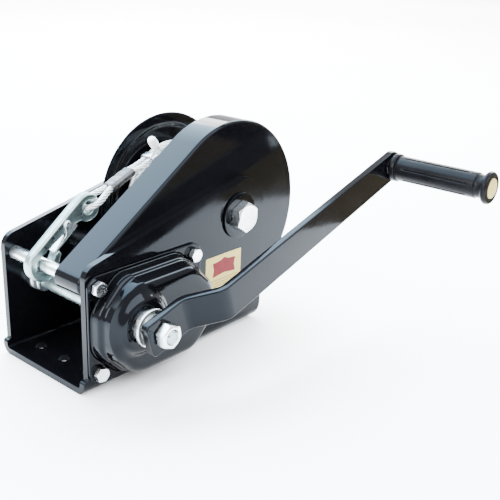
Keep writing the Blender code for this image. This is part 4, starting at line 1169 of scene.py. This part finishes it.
def rope_point(distance, side=0.0, rise=0.0):
    slope, length = rope_line()
    y = HOOK_Y + (DRUM_ROPE_Y - HOOK_Y) * distance / length
    return Vector((EYE[0] + distance * math.cos(slope) - rise * math.sin(slope), y + side,
                   EYE[1] + distance * math.sin(slope) + rise * math.cos(slope)))


def rope_frame(distance):
    """z runs along the rope to the drum, x up from it and y towards the crank."""
    slope = rope_line()[0]
    along = (rope_point(1) - rope_point(0)).normalized()
    rise = Vector((-math.sin(slope), 0, math.cos(slope)))
    turn = Matrix((rise, along.cross(rise), along)).transposed().to_4x4()
    return Matrix.Translation(rope_point(distance)) @ turn


def rope():
    """From the drum through the ferrule, round the hook's eye, back and on to the tail."""
    length = rope_line()[1]
    end = FERRULE_START + FERRULE_LENGTH
    near = FERRULE_START - 1.2 * MM
    tail = TAIL_DISTANCE
    wide = 7.3
    side = TAIL_OFFSET / MM
    places = [(length, 0, 0), (length * 0.8, 0, 0), (end + 16 * MM, 0, 0), (end + 6 * MM, 0.8, 0),
              (end, 2.2, 0), (end - 8 * MM, 2.8, 0), (near + 6 * MM, 2.8, 0), (near, 2.8, 0),
              (near - 6 * MM, 4.4, 0), (10 * MM, wide, 0), (3.5 * MM, wide - 0.6, 0),
              (0, 3.6, 0), (-0.7 * MM, 0, 0), (0, -3.6, 0), (3.5 * MM, 0.6 - wide, 0),
              (10 * MM, -wide, 0), (near - 6 * MM, -4.4, 0), (near, -2.8, 0),
              (near + 6 * MM, -2.8, 0), (end - 8 * MM, -2.8, 0), (end, -3.6, 0),
              (end + 8 * MM, -side, 0), (CLIP_DISTANCE - 4 * MM, -side, 0),
              (tail - 1 * MM, -side, 0), (tail + 2.5 * MM, -side, 3.5), (tail + 2 * MM, -side, 9),
              (tail - 1 * MM, -side, 15)]
    route = smooth_route([rope_point(distance, across * MM, rise * MM)
                          for distance, across, rise in places], 12)
    path = [route[0]]
    for point in route[1:]:
        if (point - path[-1]).length > 0.35 * MM:
            path.append(point)
    section = lobed(ROPE, STRANDS, 48)
    mesh = sweep("rope", path, lambda i: section, 2 * math.pi / LAY)
    obj = add_piece("rope", mesh, Matrix.Identity(4), "winch_frame", "rope")
    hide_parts("rope_lead", "rope_eye", "rope_tail")
    return obj, path, sum((b - a).length for a, b in zip(path, path[1:]))


def ferrule():
    """A pressed oval sleeve over both runs of the rope, with three crimps."""
    half, offset = 3.4 * MM, 2.8 * MM
    rows = []
    steps = 40
    for i in range(steps + 1):
        z = FERRULE_LENGTH * i / steps
        end = min(z, FERRULE_LENGTH - z)
        crimp = max(0, math.cos(2 * math.pi * 3 * z / FERRULE_LENGTH + math.pi)) ** 2
        size = half - 0.5 * MM * max(0, 1 - end / (1.2 * MM)) ** 2 - 0.35 * MM * crimp
        rows.append([(x, y, z) for x, y in arc((0, offset), size, 0, math.pi, 16)
                     + arc((0, -offset), size, math.pi, 2 * math.pi, 16)])
    mesh = loft("rope_ferrule", rows)
    smooth(mesh, 50)
    return replace("rope_ferrule", mesh, rope_frame(FERRULE_START), "dark_steel")


def rope_end():
    """A pale cap over the rope's cut end, standing up from the clip."""
    low = rope_point(TAIL_DISTANCE + 2 * MM, -TAIL_OFFSET, 6.5 * MM)
    high = rope_point(TAIL_DISTANCE - 1.2 * MM, -TAIL_OFFSET, 16.6 * MM)
    length = (high - low).length
    profile = soften([(0, length), (3.3 * MM, length), (3.9 * MM, length * 0.5),
                      (3.3 * MM, 0), (0, 0)], 2.4 * MM, False, 6)
    turn = (high - low).to_track_quat("Z", "Y").to_matrix().to_4x4()
    return add_piece("rope_end", spin("rope_end", profile, 32), Matrix.Translation(low) @ turn,
                     "winch_frame", "pale_cap")


def clip():
    """A band round the rope and its tail."""
    inner = ROPE + 0.4 * MM
    outer = inner + 1.3 * MM
    loops = [arc((0, TAIL_OFFSET), size, 0, math.pi, 20)
             + arc((0, 0), size, math.pi, 2 * math.pi, 20) for size in (outer, inner)]
    mesh = prism("rope_clip", loops, 0, 6 * MM, 0.4 * MM)
    return replace("rope_clip", mesh, rope_frame(CLIP_DISTANCE))


def carried_over():
    """CAD pieces whose shape is right, in their finishes."""
    for node in ("drum_gear", "countershaft_gear", "countershaft_pinion", "drive_pinion",
                 "ratchet_wheel", "pawl", "pawl_pin", "pawl_clip", "pawl_spring", "brake_flange",
                 "friction_disc_inner", "friction_disc_outer", "shaft_bush_near"):
        obj = frame["nodes"][node]
        for slot in obj.material_slots:
            slot.material = MATERIALS[SLOT_OF[node]]


def build():
    camera()
    rope_piece, path, length = rope()
    pieces = [ferrule(), clip(), rope_end()]
    stage()
    frame_plate()
    gear_guard()
    fasteners()
    drum()
    shafts()
    brake_cover()
    crank_hub()
    crank_arm()
    grip()
    label()
    snap_hook()
    latch()
    carried_over()


build()
bpy.context.view_layer.update()
